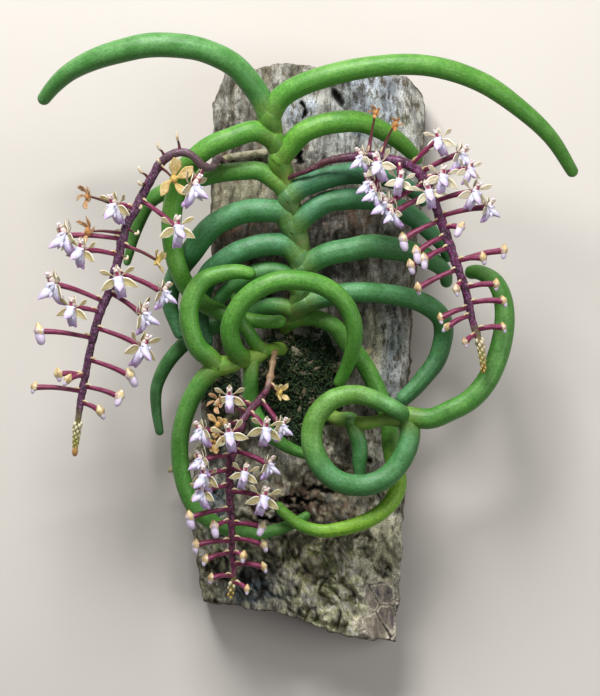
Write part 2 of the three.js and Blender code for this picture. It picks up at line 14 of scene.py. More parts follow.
import bpy
import numpy as np
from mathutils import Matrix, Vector


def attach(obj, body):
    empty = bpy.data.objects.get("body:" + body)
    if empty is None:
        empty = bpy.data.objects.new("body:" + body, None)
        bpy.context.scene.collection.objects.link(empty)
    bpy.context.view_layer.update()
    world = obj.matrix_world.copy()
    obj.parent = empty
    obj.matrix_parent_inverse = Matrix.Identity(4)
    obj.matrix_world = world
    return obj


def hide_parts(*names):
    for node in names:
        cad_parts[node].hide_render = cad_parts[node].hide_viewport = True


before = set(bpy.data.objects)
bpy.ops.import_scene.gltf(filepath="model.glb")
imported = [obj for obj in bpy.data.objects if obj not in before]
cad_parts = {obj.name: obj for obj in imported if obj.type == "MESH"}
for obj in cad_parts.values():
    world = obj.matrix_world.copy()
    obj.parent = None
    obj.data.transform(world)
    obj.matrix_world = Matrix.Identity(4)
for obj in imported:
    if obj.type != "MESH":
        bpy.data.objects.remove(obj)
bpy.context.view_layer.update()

log = logging.getLogger("orchid")

MM = 0.001
FULL_TURN = 2 * math.pi
# the direction of the painted light: leaves and sheaths get a painted highlight on the side that faces it
# and painted shade on the side away from it
PAINTED_LIGHT_DIRECTION = np.array([-0.15, 0.6, 0.75]) / math.hypot(0.15, 0.6, 0.75)  # where the open sky lies from a leaf
LENGTH_STEPS, BLADE_STEPS, LINE_STEPS = 200, 300, 400  # places on a smooth curve that is measured

Array = np.ndarray
Skin = bpy.types.Material
Point = tuple[float, float, float]
Points = tuple[Point, ...]
Rows = tuple[tuple[float, ...], ...]
Line = Iterable[Sequence[float]]


# Numbers and noise

def ease(low: float | Array, high: float | Array, value: Array) -> Array:
    """A smooth step from 0 at low to 1 at high: 3t^2 - 2t^3 of the value's clipped share t."""
    share = np.clip((value - low) / (high - low), 0.0, 1.0)
    return share * share * (3.0 - 2.0 * share)


def scatter(cells: Array, seed: int) -> Array:
    """A fixed random number from 0 to 1 for each row of whole numbers.

    The row's numbers are each multiplied by a large prime, summed, and mixed by shifts and products.

    Args:
        cells: whole numbers, one row per place.
        seed: which of the random fields to read.

    Returns:
        One number per row.
    """
    primes = np.array([374761393, 668265263, 2246822519], np.uint64)[: cells.shape[-1]]
    mixed = (cells.astype(np.int64).view(np.uint64) * primes).sum(-1) + np.uint64(seed * 3266489917)
    mixed &= np.uint64(0xFFFFFFFF)
    mixed = ((mixed ^ (mixed >> np.uint64(15))) * np.uint64(2246822519)) & np.uint64(0xFFFFFFFF)
    mixed = ((mixed ^ (mixed >> np.uint64(13))) * np.uint64(3266489917)) & np.uint64(0xFFFFFFFF)
    return (mixed ^ (mixed >> np.uint64(16))).astype(float) / 0xFFFFFFFF


def noise(places: Array, seed: int = 0, octaves: int = 1) -> Array:
    """Smooth noise from about -1 to 1.

    Each corner of a unit grid has a random value, and a place takes the eased blend of the corners of
    its cell. Each further octave is half as high and twice as fine.

    Args:
        places: rows of two or three coordinates, in grid cells.
        seed: which noise to read.
        octaves: how many scales are added up.

    Returns:
        One value per row.
    """
    total = np.zeros(places.shape[:-1])
    for octave in range(octaves):
        finer = places * 2.0**octave + 17.3 * octave
        cell = np.floor(finer)
        share = finer - cell
        share = share * share * (3.0 - 2.0 * share)
        for corner in itertools.product((0, 1), repeat=places.shape[-1]):
            weight = np.where(np.array(corner) == 1, share, 1.0 - share).prod(-1)
            total += weight * (2.0 * scatter(cell + corner, seed + octave) - 1.0) / 2.0**octave
    return total


def cells(places: Array, seed: int = 0) -> tuple[Array, Array]:
    """Plates with cracks between them, from one jittered seed point in each unit cell.

    Args:
        places: rows of two coordinates, in cells.
        seed: which pattern to read.

    Returns:
        How far each place is from the crack between its two nearest seed points (their distances'
        difference, 0 on the crack), and a fixed random number for the plate it is on.
    """
    home = np.floor(places)
    distances, names = [], []
    for step in itertools.product((-1, 0, 1), repeat=2):
        cell = home + step
        jitter = np.stack([scatter(cell, seed), scatter(cell, seed + 1)], -1)
        distances.append(np.linalg.norm(cell + 0.1 + 0.8 * jitter - places, axis=-1))
        names.append(scatter(cell, seed + 2))
    order = np.argsort(np.stack(distances), axis=0)
    near, far = (np.take_along_axis(np.stack(distances), order[rank : rank + 1], 0)[0] for rank in (0, 1))
    return far - near, np.take_along_axis(np.stack(names), order[:1], 0)[0]


# Paths and surfaces

def lengths_along(path: Array) -> Array:
    """The distance from a path's start to each of its places."""
    return np.concatenate([[0.0], np.cumsum(np.linalg.norm(np.diff(path, axis=0), axis=1))])


def path_length(path: Array) -> float:
    """The length of a path of places."""
    return float(np.linalg.norm(np.diff(path, axis=0), axis=1).sum())


def smooth_path(points: Line, where: int | Array) -> Array:
    """Places on a smooth curve through the points.

    Each span is a cubic whose end slopes come from the neighbouring points, weighted by the square
    roots of the distances between them, and both ends are carried on by reflection.

    Args:
        points: at least two points, in millimetres.
        where: how many evenly spaced places to return, or each one's share of the curve's length.

    Returns:
        One row for each place.
    """
    inner = np.array(list(points), float)
    knots = np.vstack([2 * inner[0] - inner[1], inner, 2 * inner[-1] - inner[-2]])
    gaps = np.sqrt(np.linalg.norm(np.diff(knots, axis=0), axis=1))[:, None]
    before, within, after = gaps[:-2], gaps[1:-1], gaps[2:]
    a, b, c, d = knots[:-3], knots[1:-2], knots[2:-1], knots[3:]
    leave = within * ((b - a) / before - (c - a) / (before + within) + (c - b) / within)
    reach = within * ((c - b) / within - (d - b) / (within + after) + (d - c) / after)
    t = np.linspace(0, 1, 24, endpoint=False)[None, :, None]
    spans = (
        (2 * t**3 - 3 * t**2 + 1) * b[:, None]
        + (t**3 - 2 * t**2 + t) * leave[:, None]
        + (3 * t**2 - 2 * t**3) * c[:, None]
        + (t**3 - t**2) * reach[:, None]
    )
    fine = np.vstack([spans.reshape(-1, 3), inner[-1:]])
    lengths = lengths_along(fine)
    wanted = (np.linspace(0.0, 1.0, where) if isinstance(where, int) else where) * lengths[-1]
    return np.stack([np.interp(wanted, lengths, fine[:, axis]) for axis in range(3)], 1)


def unit(vectors: Array) -> Array:
    """The vectors at length 1."""
    return vectors / np.maximum(np.linalg.norm(vectors, axis=-1, keepdims=True), 1e-12)


def carried_frame(path: Array, first: Point = (0, 0, 1)) -> tuple[Array, Array]:
    """Two directions across a path that turn with it and don't twist round it.

    The first direction is made square to the path at its start, and each later one is the one before
    it, made square to the path again.

    Args:
        path: the places along the path.
        first: the direction to start from.

    Returns:
        The carried direction and the one square to it and to the path, one row per place.
    """
    along = unit(np.gradient(path, axis=0))
    up = np.empty_like(path)
    last = np.array(first, float)
    for i, tangent in enumerate(along):
        last = last - tangent * (last @ tangent)
        last = last / np.linalg.norm(last)
        up[i] = last
    return up, np.cross(along, up)


@dataclass
class Shell:
    """One or more closed surfaces: places in millimetres, four- and three-cornered faces, and marks.

    A mark is a number at each place that a material can read by its name.
    """

    places: Array
    quads: Array
    triangles: Array
    marks: dict[str, Array] = field(default_factory=dict)

    def marked(self, **values: Array | float) -> "Shell":
        """The same surface with these marks added, each an array or one number for all places."""
        for name, value in values.items():
            self.marks[name] = np.broadcast_to(np.asarray(value, float), (len(self.places),)).copy()
        return self

    def moved(self, turn: Array, to: Array, size: float = 1.0) -> "Shell":
        """A copy that is scaled, turned by a 3 x 3 matrix and then moved."""
        places = (self.places * size) @ turn.T + to
        return Shell(places, self.quads, self.triangles, dict(self.marks))


def joined(shells: Sequence[Shell]) -> Shell:
    """Several shells as one.

    Args:
        shells: the shells, whose faces keep pointing at their own places.

    Returns:
        One shell with all their marks, which are 0 where a shell hasn't got one.
    """
    starts = np.cumsum([0] + [len(shell.places) for shell in shells])
    names = sorted(set().union(*(shell.marks for shell in shells)))
    marks = {
        name: np.concatenate([shell.marks.get(name, np.zeros(len(shell.places))) for shell in shells])
        for name in names
    }
    return Shell(
        np.vstack([shell.places for shell in shells]),
        np.vstack([shell.quads + start for shell, start in zip(shells, starts)]),
        np.vstack([shell.triangles + start for shell, start in zip(shells, starts)]),
        marks,
    )


def ring_faces(rings: int, sides: int) -> tuple[Array, Array]:
    """The faces of a tube of rings that is closed at both ends by a middle point.

    Args:
        rings: how many rings there are, each of the same number of places.
        sides: how many places a ring has.

    Returns:
        Quads between the rings, and triangles to the two end points, which come after the rings.
    """
    ring, side = np.meshgrid(np.arange(rings - 1), np.arange(sides), indexing="ij")
    here, after = ring * sides + side, ring * sides + (side + 1) % sides
    quads = np.stack([here, after, after + sides, here + sides], -1).reshape(-1, 4)
    side = np.arange(sides)
    last = (rings - 1) * sides
    foot = np.stack([np.full(sides, rings * sides), (side + 1) % sides, side], -1)
    top = np.stack([np.full(sides, rings * sides + 1), last + side, last + (side + 1) % sides], -1)
    return quads, np.vstack([foot, top])


def tube(
    path: Array,
    radii: Array,
    sides: int,
    first: Point = (0, 0, 1),
    flat: Array | float = 1.0,
) -> Shell:
    """A closed tube along a path.

    A place on ring i at angle a is the path's place, plus the radius times cos a along the carried
    direction and times the width share and sin a across it.

    Args:
        path: the middle of the tube, one row per ring.
        radii: the radius of each ring, or of each place as an array of rings by sides.
        sides: how many places each ring has.
        first: the direction that the ring's first place starts from.
        flat: the width across the carried direction, as a share of the radius, for each ring.

    Returns:
        The tube, marked with its angle in turns and its distance along in millimetres.
    """
    up, side = carried_frame(path, first)
    angle = np.linspace(0, FULL_TURN, sides, endpoint=False)
    radii = np.asarray(radii, float)
    radii = radii[:, None] if radii.ndim == 1 else radii
    width = np.broadcast_to(np.asarray(flat, float), (len(path),))[:, None]
    rings = (
        path[:, None]
        + (radii * np.cos(angle))[..., None] * up[:, None]
        + (radii * width * np.sin(angle))[..., None] * side[:, None]
    )
    lengths = lengths_along(path)
    quads, triangles = ring_faces(len(path), sides)
    ends = np.array([path[0], path[-1]])
    around = np.concatenate([np.tile(angle / FULL_TURN, len(path)), [0.5, 0.5]])
    along = np.concatenate([np.repeat(lengths, sides), [0.0, lengths[-1]]])
    places = np.vstack([rings.reshape(-1, 3), ends])
    return Shell(places, quads, triangles).marked(around=around, along=along)


def outward(shell: Shell) -> Shell:
    """The shell with its faces turned to point outwards.

    They point inwards if its volume, the sum of its triangles' box products, is negative.

    Args:
        shell: a closed shell, whose faces all point the same way.

    Returns:
        The same shell, or one with its faces turned round.
    """
    halves = np.vstack([shell.quads[:, [0, 1, 2]], shell.quads[:, [0, 2, 3]], shell.triangles])
    corners = shell.places[halves]
    volume = np.einsum("ij,ij->", corners[:, 0], np.cross(corners[:, 1], corners[:, 2]))
    if volume < 0:
        return Shell(shell.places, shell.quads[:, ::-1], shell.triangles[:, ::-1], shell.marks)
    return shell


# Finishes

def paint(code: str) -> tuple[float, float, float, float]:
    """A colour as the shader's light values, by the usual curve of screen colours.

    Args:
        code: its six-figure code.

    Returns:
        Red, green, blue and 1.
    """
    values = (int(code[i : i + 2], 16) / 255 for i in (0, 2, 4))
    red, green, blue = (v / 12.92 if v <= 0.04045 else ((v + 0.055) / 1.055) ** 2.4 for v in values)
    return (red, green, blue, 1.0)


class Wire:
    """A value inside a material. Sums written with it add the Math nodes that work it out."""

    def __init__(self, sheet: "Sheet", socket: bpy.types.NodeSocket) -> None:
        """The value that leaves a socket of one of the sheet's nodes."""
        self.sheet = sheet
        self.socket = socket

    def _math(self, operation: str, first: "Wire | float", second: "Wire | float") -> "Wire":
        """The Math node of an operation on two values."""
        return self.sheet.node("ShaderNodeMath", {"operation": operation}, {0: first, 1: second})

    def __add__(self, other: "Wire | float") -> "Wire":
        """This value plus another."""
        return self._math("ADD", self, other)

    def __sub__(self, other: "Wire | float") -> "Wire":
        """This value less another."""
        return self._math("SUBTRACT", self, other)

    def __rsub__(self, other: float) -> "Wire":
        """A number less this value."""
        return self._math("SUBTRACT", other, self)

    def __mul__(self, other: "Wire | float") -> "Wire":
        """This value times another."""
        return self._math("MULTIPLY", self, other)

    __radd__ = __add__
    __rmul__ = __mul__

    def step(self, low: float, high: float) -> "Wire":
        """The smooth step of this value, from 0 at low to 1 at high."""
        settings = {"interpolation_type": "SMOOTHSTEP"}
        return self.sheet.node("ShaderNodeMapRange", settings, {"Value": self, 1: low, 2: high})


class Sheet:
    """A material under construction: one surface and the nodes that feed it."""

    def __init__(self, name: str) -> None:
        """An empty material.

        Args:
            name: its name.
        """
        self.material = bpy.data.materials.new(name)
        self.material.use_nodes = True
        self.tree = self.material.node_tree
        self.tree.nodes.clear()
        self.surface = self.tree.nodes.new("ShaderNodeBsdfPrincipled")
        output = self.tree.nodes.new("ShaderNodeOutputMaterial")
        self.tree.links.new(self.surface.outputs[0], output.inputs["Surface"])

    @staticmethod
    def _socket(sockets: bpy.types.bpy_prop_collection, key: str | int) -> bpy.types.NodeSocket:
        """The socket with this place, identifier or name among a node's inputs or outputs."""
        if isinstance(key, int):
            return sockets[key]
        return next((socket for socket in sockets if socket.identifier == key), None) or sockets[key]

    def _feed(self, socket: bpy.types.NodeSocket, value: "Wire | float | str | Sequence[float]") -> None:
        """Links a wire to a socket, or sets a number, some numbers or the code of a colour on it."""
        if isinstance(value, Wire):
            self.tree.links.new(value.socket, socket)
        else:
            socket.default_value = paint(value) if isinstance(value, str) else value

    def node(self, kind: str, settings: dict, inputs: dict, output: str | int = 0) -> Wire:
        """Adds a node.

        Args:
            kind: the node's type.
            settings: its properties, which are set before its sockets.
            inputs: numbers, codes of colours or wires by the socket's place, identifier or name.
            output: the socket to return.

        Returns:
            The wire that leaves the node.
        """
        made = self.tree.nodes.new(kind)
        for name, value in settings.items():
            setattr(made, name, value)
        for key, value in inputs.items():
            self._feed(self._socket(made.inputs, key), value)
        return Wire(self, self._socket(made.outputs, output))

    def mark(self, name: str) -> Wire:
        """The number that the mesh carries under a name."""
        return self.node("ShaderNodeAttribute", {"attribute_name": name}, {}, "Fac")

    def speckle(
        self,
        scale: float,
        stretch: Point = (1, 1, 1),
        detail: float = 3.0,
        roughness: float = 0.55,
        shift: float = 0.0,
    ) -> Wire:
        """Cloudy noise over the object.

        Args:
            scale: 1 over the size of its blotches in millimetres.
            stretch: how much finer it is along each axis.
            detail: how many finer scales are added up.
            roughness: how strong they are.
            shift: how far it is moved, so that two speckles differ.

        Returns:
            The noise, from 0 to 1.
        """
        here = self.node("ShaderNodeTexCoord", {}, {}, "Object")
        factors = tuple(share / MM for share in stretch)
        place = self.node("ShaderNodeVectorMath", {"operation": "MULTIPLY"}, {0: here, 1: factors})
        if shift:
            place = self.node("ShaderNodeVectorMath", {"operation": "ADD"}, {0: place, 1: (shift,) * 3})
        inputs = {"Vector": place, "Scale": scale, "Detail": detail, "Roughness": roughness}
        return self.node("ShaderNodeTexNoise", {"noise_dimensions": "3D"}, inputs, "Fac")

    def lines(self, count: float, wobble: float, name: str = "around") -> Wire:
        """Fine streaks along the surface.

        Args:
            count: how many there are for each whole turn of the mark.
            wobble: how much they change for each millimetre along.
            name: the mark that they follow across the surface.

        Returns:
            The streaks, from 0 to 1.
        """
        inputs = {"X": self.mark(name) * count, "Y": self.mark("along") * wobble}
        place = self.node("ShaderNodeCombineXYZ", {}, inputs)
        return self.node("ShaderNodeTexNoise", {}, {"Vector": place, "Scale": 1.0, "Detail": 2.0}, "Fac")

    def over(self, colour: Wire | str, *layers: tuple[Wire | str, Wire | float]) -> Wire:
        """A colour with others laid over it.

        Args:
            colour: the colour below.
            *layers: each colour over it in turn, and its share from 0 to 1.

        Returns:
            The colour that shows.
        """
        for top, share in layers:
            inputs = {"A_Color": colour, "B_Color": top, "Factor_Float": share}
            colour = self.node("ShaderNodeMix", {"data_type": "RGBA"}, inputs, "Result_Color")
        return colour

    def shade(self, colour: Wire, pattern: Wire, darkest: float, lightest: float) -> Wire:
        """A colour whose brightness follows a pattern.

        Args:
            colour: the colour.
            pattern: what it follows, from 0 to 1.
            darkest: its share of its own brightness where the pattern is 0.
            lightest: the share where it is 1.

        Returns:
            The shaded colour.
        """
        amount = pattern * (lightest - darkest) + darkest
        grey = self.node("ShaderNodeCombineColor", {}, {"Red": amount, "Green": amount, "Blue": amount})
        settings = {"data_type": "RGBA", "blend_type": "MULTIPLY"}
        inputs = {"A_Color": colour, "B_Color": grey, "Factor_Float": 1.0}
        return self.node("ShaderNodeMix", settings, inputs, "Result_Color")

    def finish(
        self,
        colour: Wire,
        rough: Wire | float,
        relief: Wire | None = None,
        depth: float = 0.1,
        **fixed: float,
    ) -> Skin:
        """Connects the surface.

        Args:
            colour: the base colour.
            rough: the roughness.
            relief: the height that the light sees, in shares of the depth.
            depth: how high a relief of 1 stands, in millimetres.
            **fixed: other values of the surface, set on its own sockets, with _ for a space.

        Returns:
            The finished material.
        """
        self._feed(self.surface.inputs["Base Color"], colour)
        self._feed(self.surface.inputs["Roughness"], rough)
        for name, value in fixed.items():
            self._feed(self.surface.inputs[name.replace("_", " ")], value)
        if relief is not None:
            inputs = {"Height": relief, "Distance": depth * MM, "Strength": 1.0}
            self._feed(self.surface.inputs["Normal"], self.node("ShaderNodeBump", {}, inputs))
        return self.material


def placed(name: str, data: bpy.types.ID) -> bpy.types.Object:
    """A new object at the origin.

    Args:
        name: its name.
        data: the mesh, light or camera that it shows.

    Returns:
        The object, in the scene.
    """
    made = bpy.data.objects.new(name, data)
    bpy.context.scene.collection.objects.link(made)
    return made


def show(name: str, shell: Shell, material: Skin, slot: str, *nodes: str) -> bpy.types.Object:
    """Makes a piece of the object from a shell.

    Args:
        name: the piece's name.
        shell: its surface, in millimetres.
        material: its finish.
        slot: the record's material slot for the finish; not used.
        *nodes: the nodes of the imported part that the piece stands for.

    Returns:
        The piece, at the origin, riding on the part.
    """
    mesh = bpy.data.meshes.new(name)
    corners = np.concatenate([shell.quads.ravel(), shell.triangles.ravel()])
    counts = np.concatenate([np.full(len(shell.quads), 4), np.full(len(shell.triangles), 3)])
    mesh.vertices.add(len(shell.places))
    mesh.vertices.foreach_set("co", (shell.places * MM).astype(np.float32).ravel())
    mesh.loops.add(len(corners))
    mesh.loops.foreach_set("vertex_index", corners.astype(np.int32))
    mesh.polygons.add(len(counts))
    mesh.polygons.foreach_set("loop_start", (np.cumsum(counts) - counts).astype(np.int32))
    mesh.polygons.foreach_set("use_smooth", np.ones(len(counts), bool))
    mesh.update(calc_edges=True)
    for mark, values in shell.marks.items():
        mesh.attributes.new(mark, "FLOAT", "POINT").data.foreach_set("value", values.astype(np.float32))
    mesh.materials.append(material)
    piece = placed(name, mesh)
    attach(piece, "root")
    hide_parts(*nodes)
    log.info("%s: %d faces", name, 2 * len(shell.quads) + len(shell.triangles))
    return piece


# The plant

class Age(Enum):
    """Whether a leaf is young and yellow-green or old and blue-green."""

    YOUNG = "young_leaf"
    OLD = "old_leaf"


@dataclass(frozen=True)
class LeafColours:
    """The greens of a young and of an old leaf, each with its lit and its shaded side."""

    fresh: str = "4b8b1f"
    cool: str = "2f6a3e"
    # lit copies of the greens, painted as a highlight on the side towards the sky
    fresh_highlight: str = "74a938"
    cool_highlight: str = "5b9676"
    # shaded copies of the greens, painted as shade on the side away from the sky; a leaf's darker end
    # uses them too
    fresh_deep: str = "2f5a17"
    cool_deep: str = "1a4029"
    foot: str = "63802c"
    sun: str = "74a31d"
    # the lit copy of the yellower patch, painted as a highlight
    sun_highlight: str = "9cc93a"

    def flesh(self, sheet: Sheet) -> Wire:
        """The colour of a leaf's flesh.

        Args:
            sheet: the material under construction.

        Returns:
            The colour that follows four marks: tone from young to old, sky from below to above, which
            paints a highlight on the side facing the light and shade on the side away from it, deep where
            it is darker and sun where it is yellower.
        """
        tone, sky = sheet.mark("tone"), sheet.mark("sky")
        deep = sheet.over(self.fresh_deep, (self.cool_deep, tone))
        light = sheet.over(self.fresh_highlight, (self.cool_highlight, tone))
        # painted highlight on the side towards the sky, made patchy like a wax bloom
        waxy_highlight_patches = sheet.speckle(0.22, shift=9.0, detail=4).step(0.36, 0.64)
        lit = sky.step(0.5, 1.0) * (waxy_highlight_patches * 0.55 + 0.12)
        warm = sheet.over(self.sun, (self.sun_highlight, lit))
        return sheet.over(
            self.fresh,
            (self.cool, tone),
            # painted shade on the side away from the sky
            (deep, (1 - sky).step(0.45, 1.0) * 0.75),
            (deep, sheet.mark("deep") * 0.7),
            (light, lit),
            (warm, sheet.mark("sun")),
        )


@dataclass(frozen=True)
class LeafFinish:
    """The skin of a leaf: wax-coated, finely pitted, lighter above by painted highlight and deeper green
    below by painted shade.
    """

    age: Age
    cloud: float
    gloss: float
    colours: LeafColours = LeafColours()

    def material(self) -> Skin:
        """The finish as a material that reads the marks tone, sky, deep, sun, foot, along and around."""
        sheet = Sheet(f"{self.age.value}_skin")
        flesh = sheet.over(self.colours.flesh(sheet), (self.colours.foot, sheet.mark("foot") * 0.6))
        cloudy = sheet.speckle(0.14, detail=4)
        flesh = sheet.shade(flesh, cloudy, 1 - self.cloud / 2, 1 + self.cloud / 2)
        dots = sheet.speckle(1.7, detail=3)
        flesh = sheet.shade(flesh, dots.step(0.3, 0.7), 0.79, 1.21)
        streaks = sheet.lines(26, 0.05)
        flesh = sheet.shade(flesh, streaks.step(0.35, 0.65), 0.92, 1.08)
        relief = streaks * 0.5 + dots * 0.5
        rough = sheet.speckle(0.5, shift=3.0) * 0.2 + self.gloss
        return sheet.finish(flesh, rough, relief, 0.16, Subsurface_Weight=0.06, Subsurface_Scale=MM)


@dataclass(frozen=True)
class Leaf:
    """A long round horn of a leaf, as points along its middle and widths at foot, middle and end.

    deep_end is the share by which its further half is darker, and sunned by which it is yellower.
    """

    name: str
    age: Age
    tone: float
    widths: Point
    points: Points
    deep_end: float = 0.0
    sunned: float = 0.0
    sides: int = 26
    ring_step: float = 0.85
    tip_rings: int = 8
    foot_length: float = 5.0
    swell_length: float = 11.0
    swell_share: float = 0.022

    def shares(self, length: float) -> Array:
        """Where the rings are: evenly spaced, and then ever closer over the round tip.

        Args:
            length: the leaf's length.

        Returns:
            Each ring's share of the length.
        """
        tip = self.widths[2] * 0.5 / length
        body = np.linspace(0.0, 1.0 - tip, int(length / self.ring_step))
        closing = np.sin(np.linspace(0.0, math.pi / 2, self.tip_rings + 1)[1:])
        return np.concatenate([body, 1.0 - tip + tip * closing])

    def radii(self, shares: Array, length: float) -> Array:
        """The radius at each ring.

        It goes evenly from foot to middle, then falls to the end with the power 1.6 of the share,
        closes in a dome over the last half width, and swells and shrinks a little by slow noise.

        Args:
            shares: each ring's share of the length.
            length: the leaf's length.

        Returns:
            One radius for each ring.
        """
        foot, middle, end = self.widths
        lower = foot + (middle - foot) * shares * 2
        upper = middle + (end - middle) * np.clip(shares * 2 - 1, 0, 1) ** 1.6
        beyond = np.clip(1 - (1 - shares) * length / (end / 2), 0, 1)
        dome = np.sqrt(np.clip(1 - beyond**2, 0.02, 1))
        seed = int(scatter(np.array([[len(self.points), int(self.points[-1][0] * 10)]]), 4)[0] * 900)
        slow = np.stack([shares * length / self.swell_length, np.full(len(shares), 0.5)], -1)
        swell = 1 + self.swell_share * noise(slow, seed, 2)
        return np.where(shares < 0.5, lower, upper) / 2 * dome * swell

    def shell(self) -> Shell:
        """The leaf's surface, marked with its tone, sky, foot, darker end and yellower part."""
        length = path_length(smooth_path(self.points, LENGTH_STEPS))
        shares = self.shares(length)
        path = smooth_path(self.points, shares)
        leaf = tube(path, self.radii(shares, length), self.sides)
        middle = np.vstack([np.repeat(path, self.sides, axis=0), path[0], path[-1]])
        facing = unit(leaf.places - middle)
        # sky: how far each place faces the painted light, from 0 facing away to 1 facing it
        sky = 0.5 + 0.5 * facing @ PAINTED_LIGHT_DIRECTION
        along = leaf.marks["along"]
        foot = 1.0 - ease(0.4 * self.foot_length, 1.4 * self.foot_length, along)
        deep = self.deep_end * ease(0.45, 0.85, along / length)
        sun = self.sunned * ease(0.42, 0.62, along / length)
        sun *= 1 - 0.7 * ease(0.78, 0.95, along / length)
        return outward(leaf).marked(tone=self.tone, sky=sky, foot=foot, deep=deep, sun=sun)


@dataclass(frozen=True)
class SheathFinish:
    """The leaf sheaths round a stem: olive, ribbed along, green towards the leaf, pale at the cleft,
    partly a painted highlight.
    """

    body: str = "6f8230"
    shade: str = "4a6a24"
    # a pale rim colour, partly a painted highlight along the sheath's cleft
    rim: str = "9fae58"
    dry: str = "a98d5a"
    name: str = "sheath_skin"
    colours: LeafColours = LeafColours()

    def material(self) -> Skin:
        """The finish as a material that reads the marks around, along, tone, sky, leaf, rim and dry."""
        sheet = Sheet(self.name)
        cloudy = sheet.speckle(0.3, detail=4)
        green = (self.colours.flesh(sheet), sheet.mark("leaf") * 0.3 + 0.4)
        flesh = sheet.over(self.shade, (self.body, cloudy.step(0.3, 0.6)), green)
        ribs = sheet.lines(30, 0.08)
        flesh = sheet.shade(flesh, ribs, 0.8, 1.2)
        dry = sheet.mark("dry") * sheet.speckle(0.6, shift=5.0, detail=4).step(0.42, 0.6)
        # the pale rim at the cleft is partly a painted highlight
        flesh = sheet.over(flesh, (self.dry, dry * 0.85), (self.rim, sheet.mark("rim")))
        relief = ribs * 0.7 + sheet.speckle(3.0) * 0.3
        return sheet.finish(flesh, sheet.speckle(0.7) * 0.2 + 0.38, relief, 0.14)


@dataclass(frozen=True)
class Stem:
    """A stem in overlapping leaf sheaths, each of which runs out along the foot of its leaf."""

    name: str
    width: float
    points: Points
    leaves: tuple[Leaf, ...]
    dry: float = 0.2
    sides: int = 28
    ring_step: float = 0.8
    sheath_below: float = 8.5
    sheath_beyond: float = 2.2
    sheath_swell: float = 1.015
    ribs: int = 9
    rib_height: float = 0.05

    def radius(self, share: Array) -> Array:
        """The stem's own radius: narrower near both ends, and most so at its tip."""
        return self.width / 2 * np.minimum(1.0, np.minimum(0.8 + share, 0.62 + (1 - share)))

    def sheath(self, leaf: Leaf, index: int) -> Shell:
        """One leaf's sheath: from within the stem, out along the leaf, with a rolled pale rim, partly
        painted highlight.

        Its middle runs smoothly from the stem's line to the leaf's, and its radius eases from 0.82 of
        the stem's to a little over the leaf's.

        Args:
            leaf: the leaf that it clothes.
            index: the leaf's number on the stem, which shifts the ribs.

        Returns:
            The sheath, marked with its rim, its dry part, how far it is leaf, its tone and its sky.
        """
        line = smooth_path(self.points, LINE_STEPS)
        length = path_length(line)
        nearest = int(np.linalg.norm(line - np.array(leaf.points[0]), axis=1).argmin())
        backs = (self.sheath_below, 0.45 * self.sheath_below)
        start, bend = (max(0, int(nearest - back / length * LINE_STEPS)) for back in backs)
        blade = smooth_path(leaf.points, BLADE_STEPS)
        reach = path_length(blade)
        ahead = (0.3 * self.sheath_beyond, self.sheath_beyond)
        onto = [blade[int(far / reach * BLADE_STEPS)] for far in ahead]
        turns = [line[start], line[bend], *onto] if bend > start else [line[start], *onto]
        rings = int((self.sheath_below + self.sheath_beyond) / (0.35 * self.ring_step))
        path = smooth_path(turns, rings)
        share = np.linspace(0, 1, rings)
        inner = 0.82 * float(self.radius(np.array([start / LINE_STEPS]))[0])
        radii = inner + (self.sheath_swell * leaf.widths[0] / 2 - inner) * ease(0, 0.8, share)
        radii[-4:] *= [0.995, 0.985, 0.96, 0.9]
        turn = np.arange(self.sides) / self.sides * FULL_TURN
        wave = self.rib_height * np.cos(turn * self.ribs + index)
        shell = tube(path, radii[:, None] + wave * ease(0.1, 0.4, share)[:, None], self.sides)
        upward = unit(line[min(LINE_STEPS - 1, nearest + 8)] - line[max(0, nearest - 8)])
        middle = np.repeat(path, self.sides, axis=0)
        facing = unit(shell.places[:-2] - middle) @ upward
        # the rim mark: the sheath's edge on the side towards the stem's tip, painted pale, partly as a
        # highlight
        rim = np.repeat(ease(0.93, 0.985, share), self.sides) * ease(-0.1, 0.75, facing)
        blend = np.repeat(ease(0.45, 1.0, share), self.sides)
        blend = np.append(blend, [0.0, 1.0])
        # sky: how far each place faces the painted light, for the painted highlight and shade of the
        # green flesh
        sky = 0.5 + 0.5 * unit(shell.places - np.vstack([middle, line[:2]])) @ PAINTED_LIGHT_DIRECTION
        shell.marked(rim=np.append(rim, [0.0, 0.6]), dry=self.dry * (1 - blend))
        return outward(shell).marked(tone=leaf.tone, leaf=blend, sky=sky)

    def shell(self) -> Shell:
        """The bare stem with all its sheaths."""
        rings = int(path_length(smooth_path(self.points, LENGTH_STEPS)) / self.ring_step)
        radii = self.radius(np.linspace(0, 1, rings)) * 0.88
        core = outward(tube(smooth_path(self.points, rings), radii, self.sides))
        core.marked(rim=0.0, dry=self.dry, tone=0.5, leaf=0.0, sky=0.5)
        return joined([core, *(self.sheath(leaf, index) for index, leaf in enumerate(self.leaves))])


@dataclass(frozen=True)
class RootFinish:
    """A root's silvery skin, greener where it is damp and towards its tip."""

    skin: str = "bdb59b"
    damp: str = "7c7a5a"
    tip: str = "b9b07c"

    def material(self) -> Skin:
        """The finish as a material that reads the marks around, along and tip."""
        sheet = Sheet("root_skin")
        blotch = sheet.speckle(0.7, detail=4)
        skin = sheet.over(self.skin, (self.damp, blotch.step(0.45, 0.62)), (self.tip, sheet.mark("tip")))
        threads = sheet.lines(14, 0.3)
        skin = sheet.shade(skin, threads, 0.75, 1.25)
        return sheet.finish(skin, 0.85, threads * 0.4 + sheet.speckle(3.0) * 0.6, 0.3)


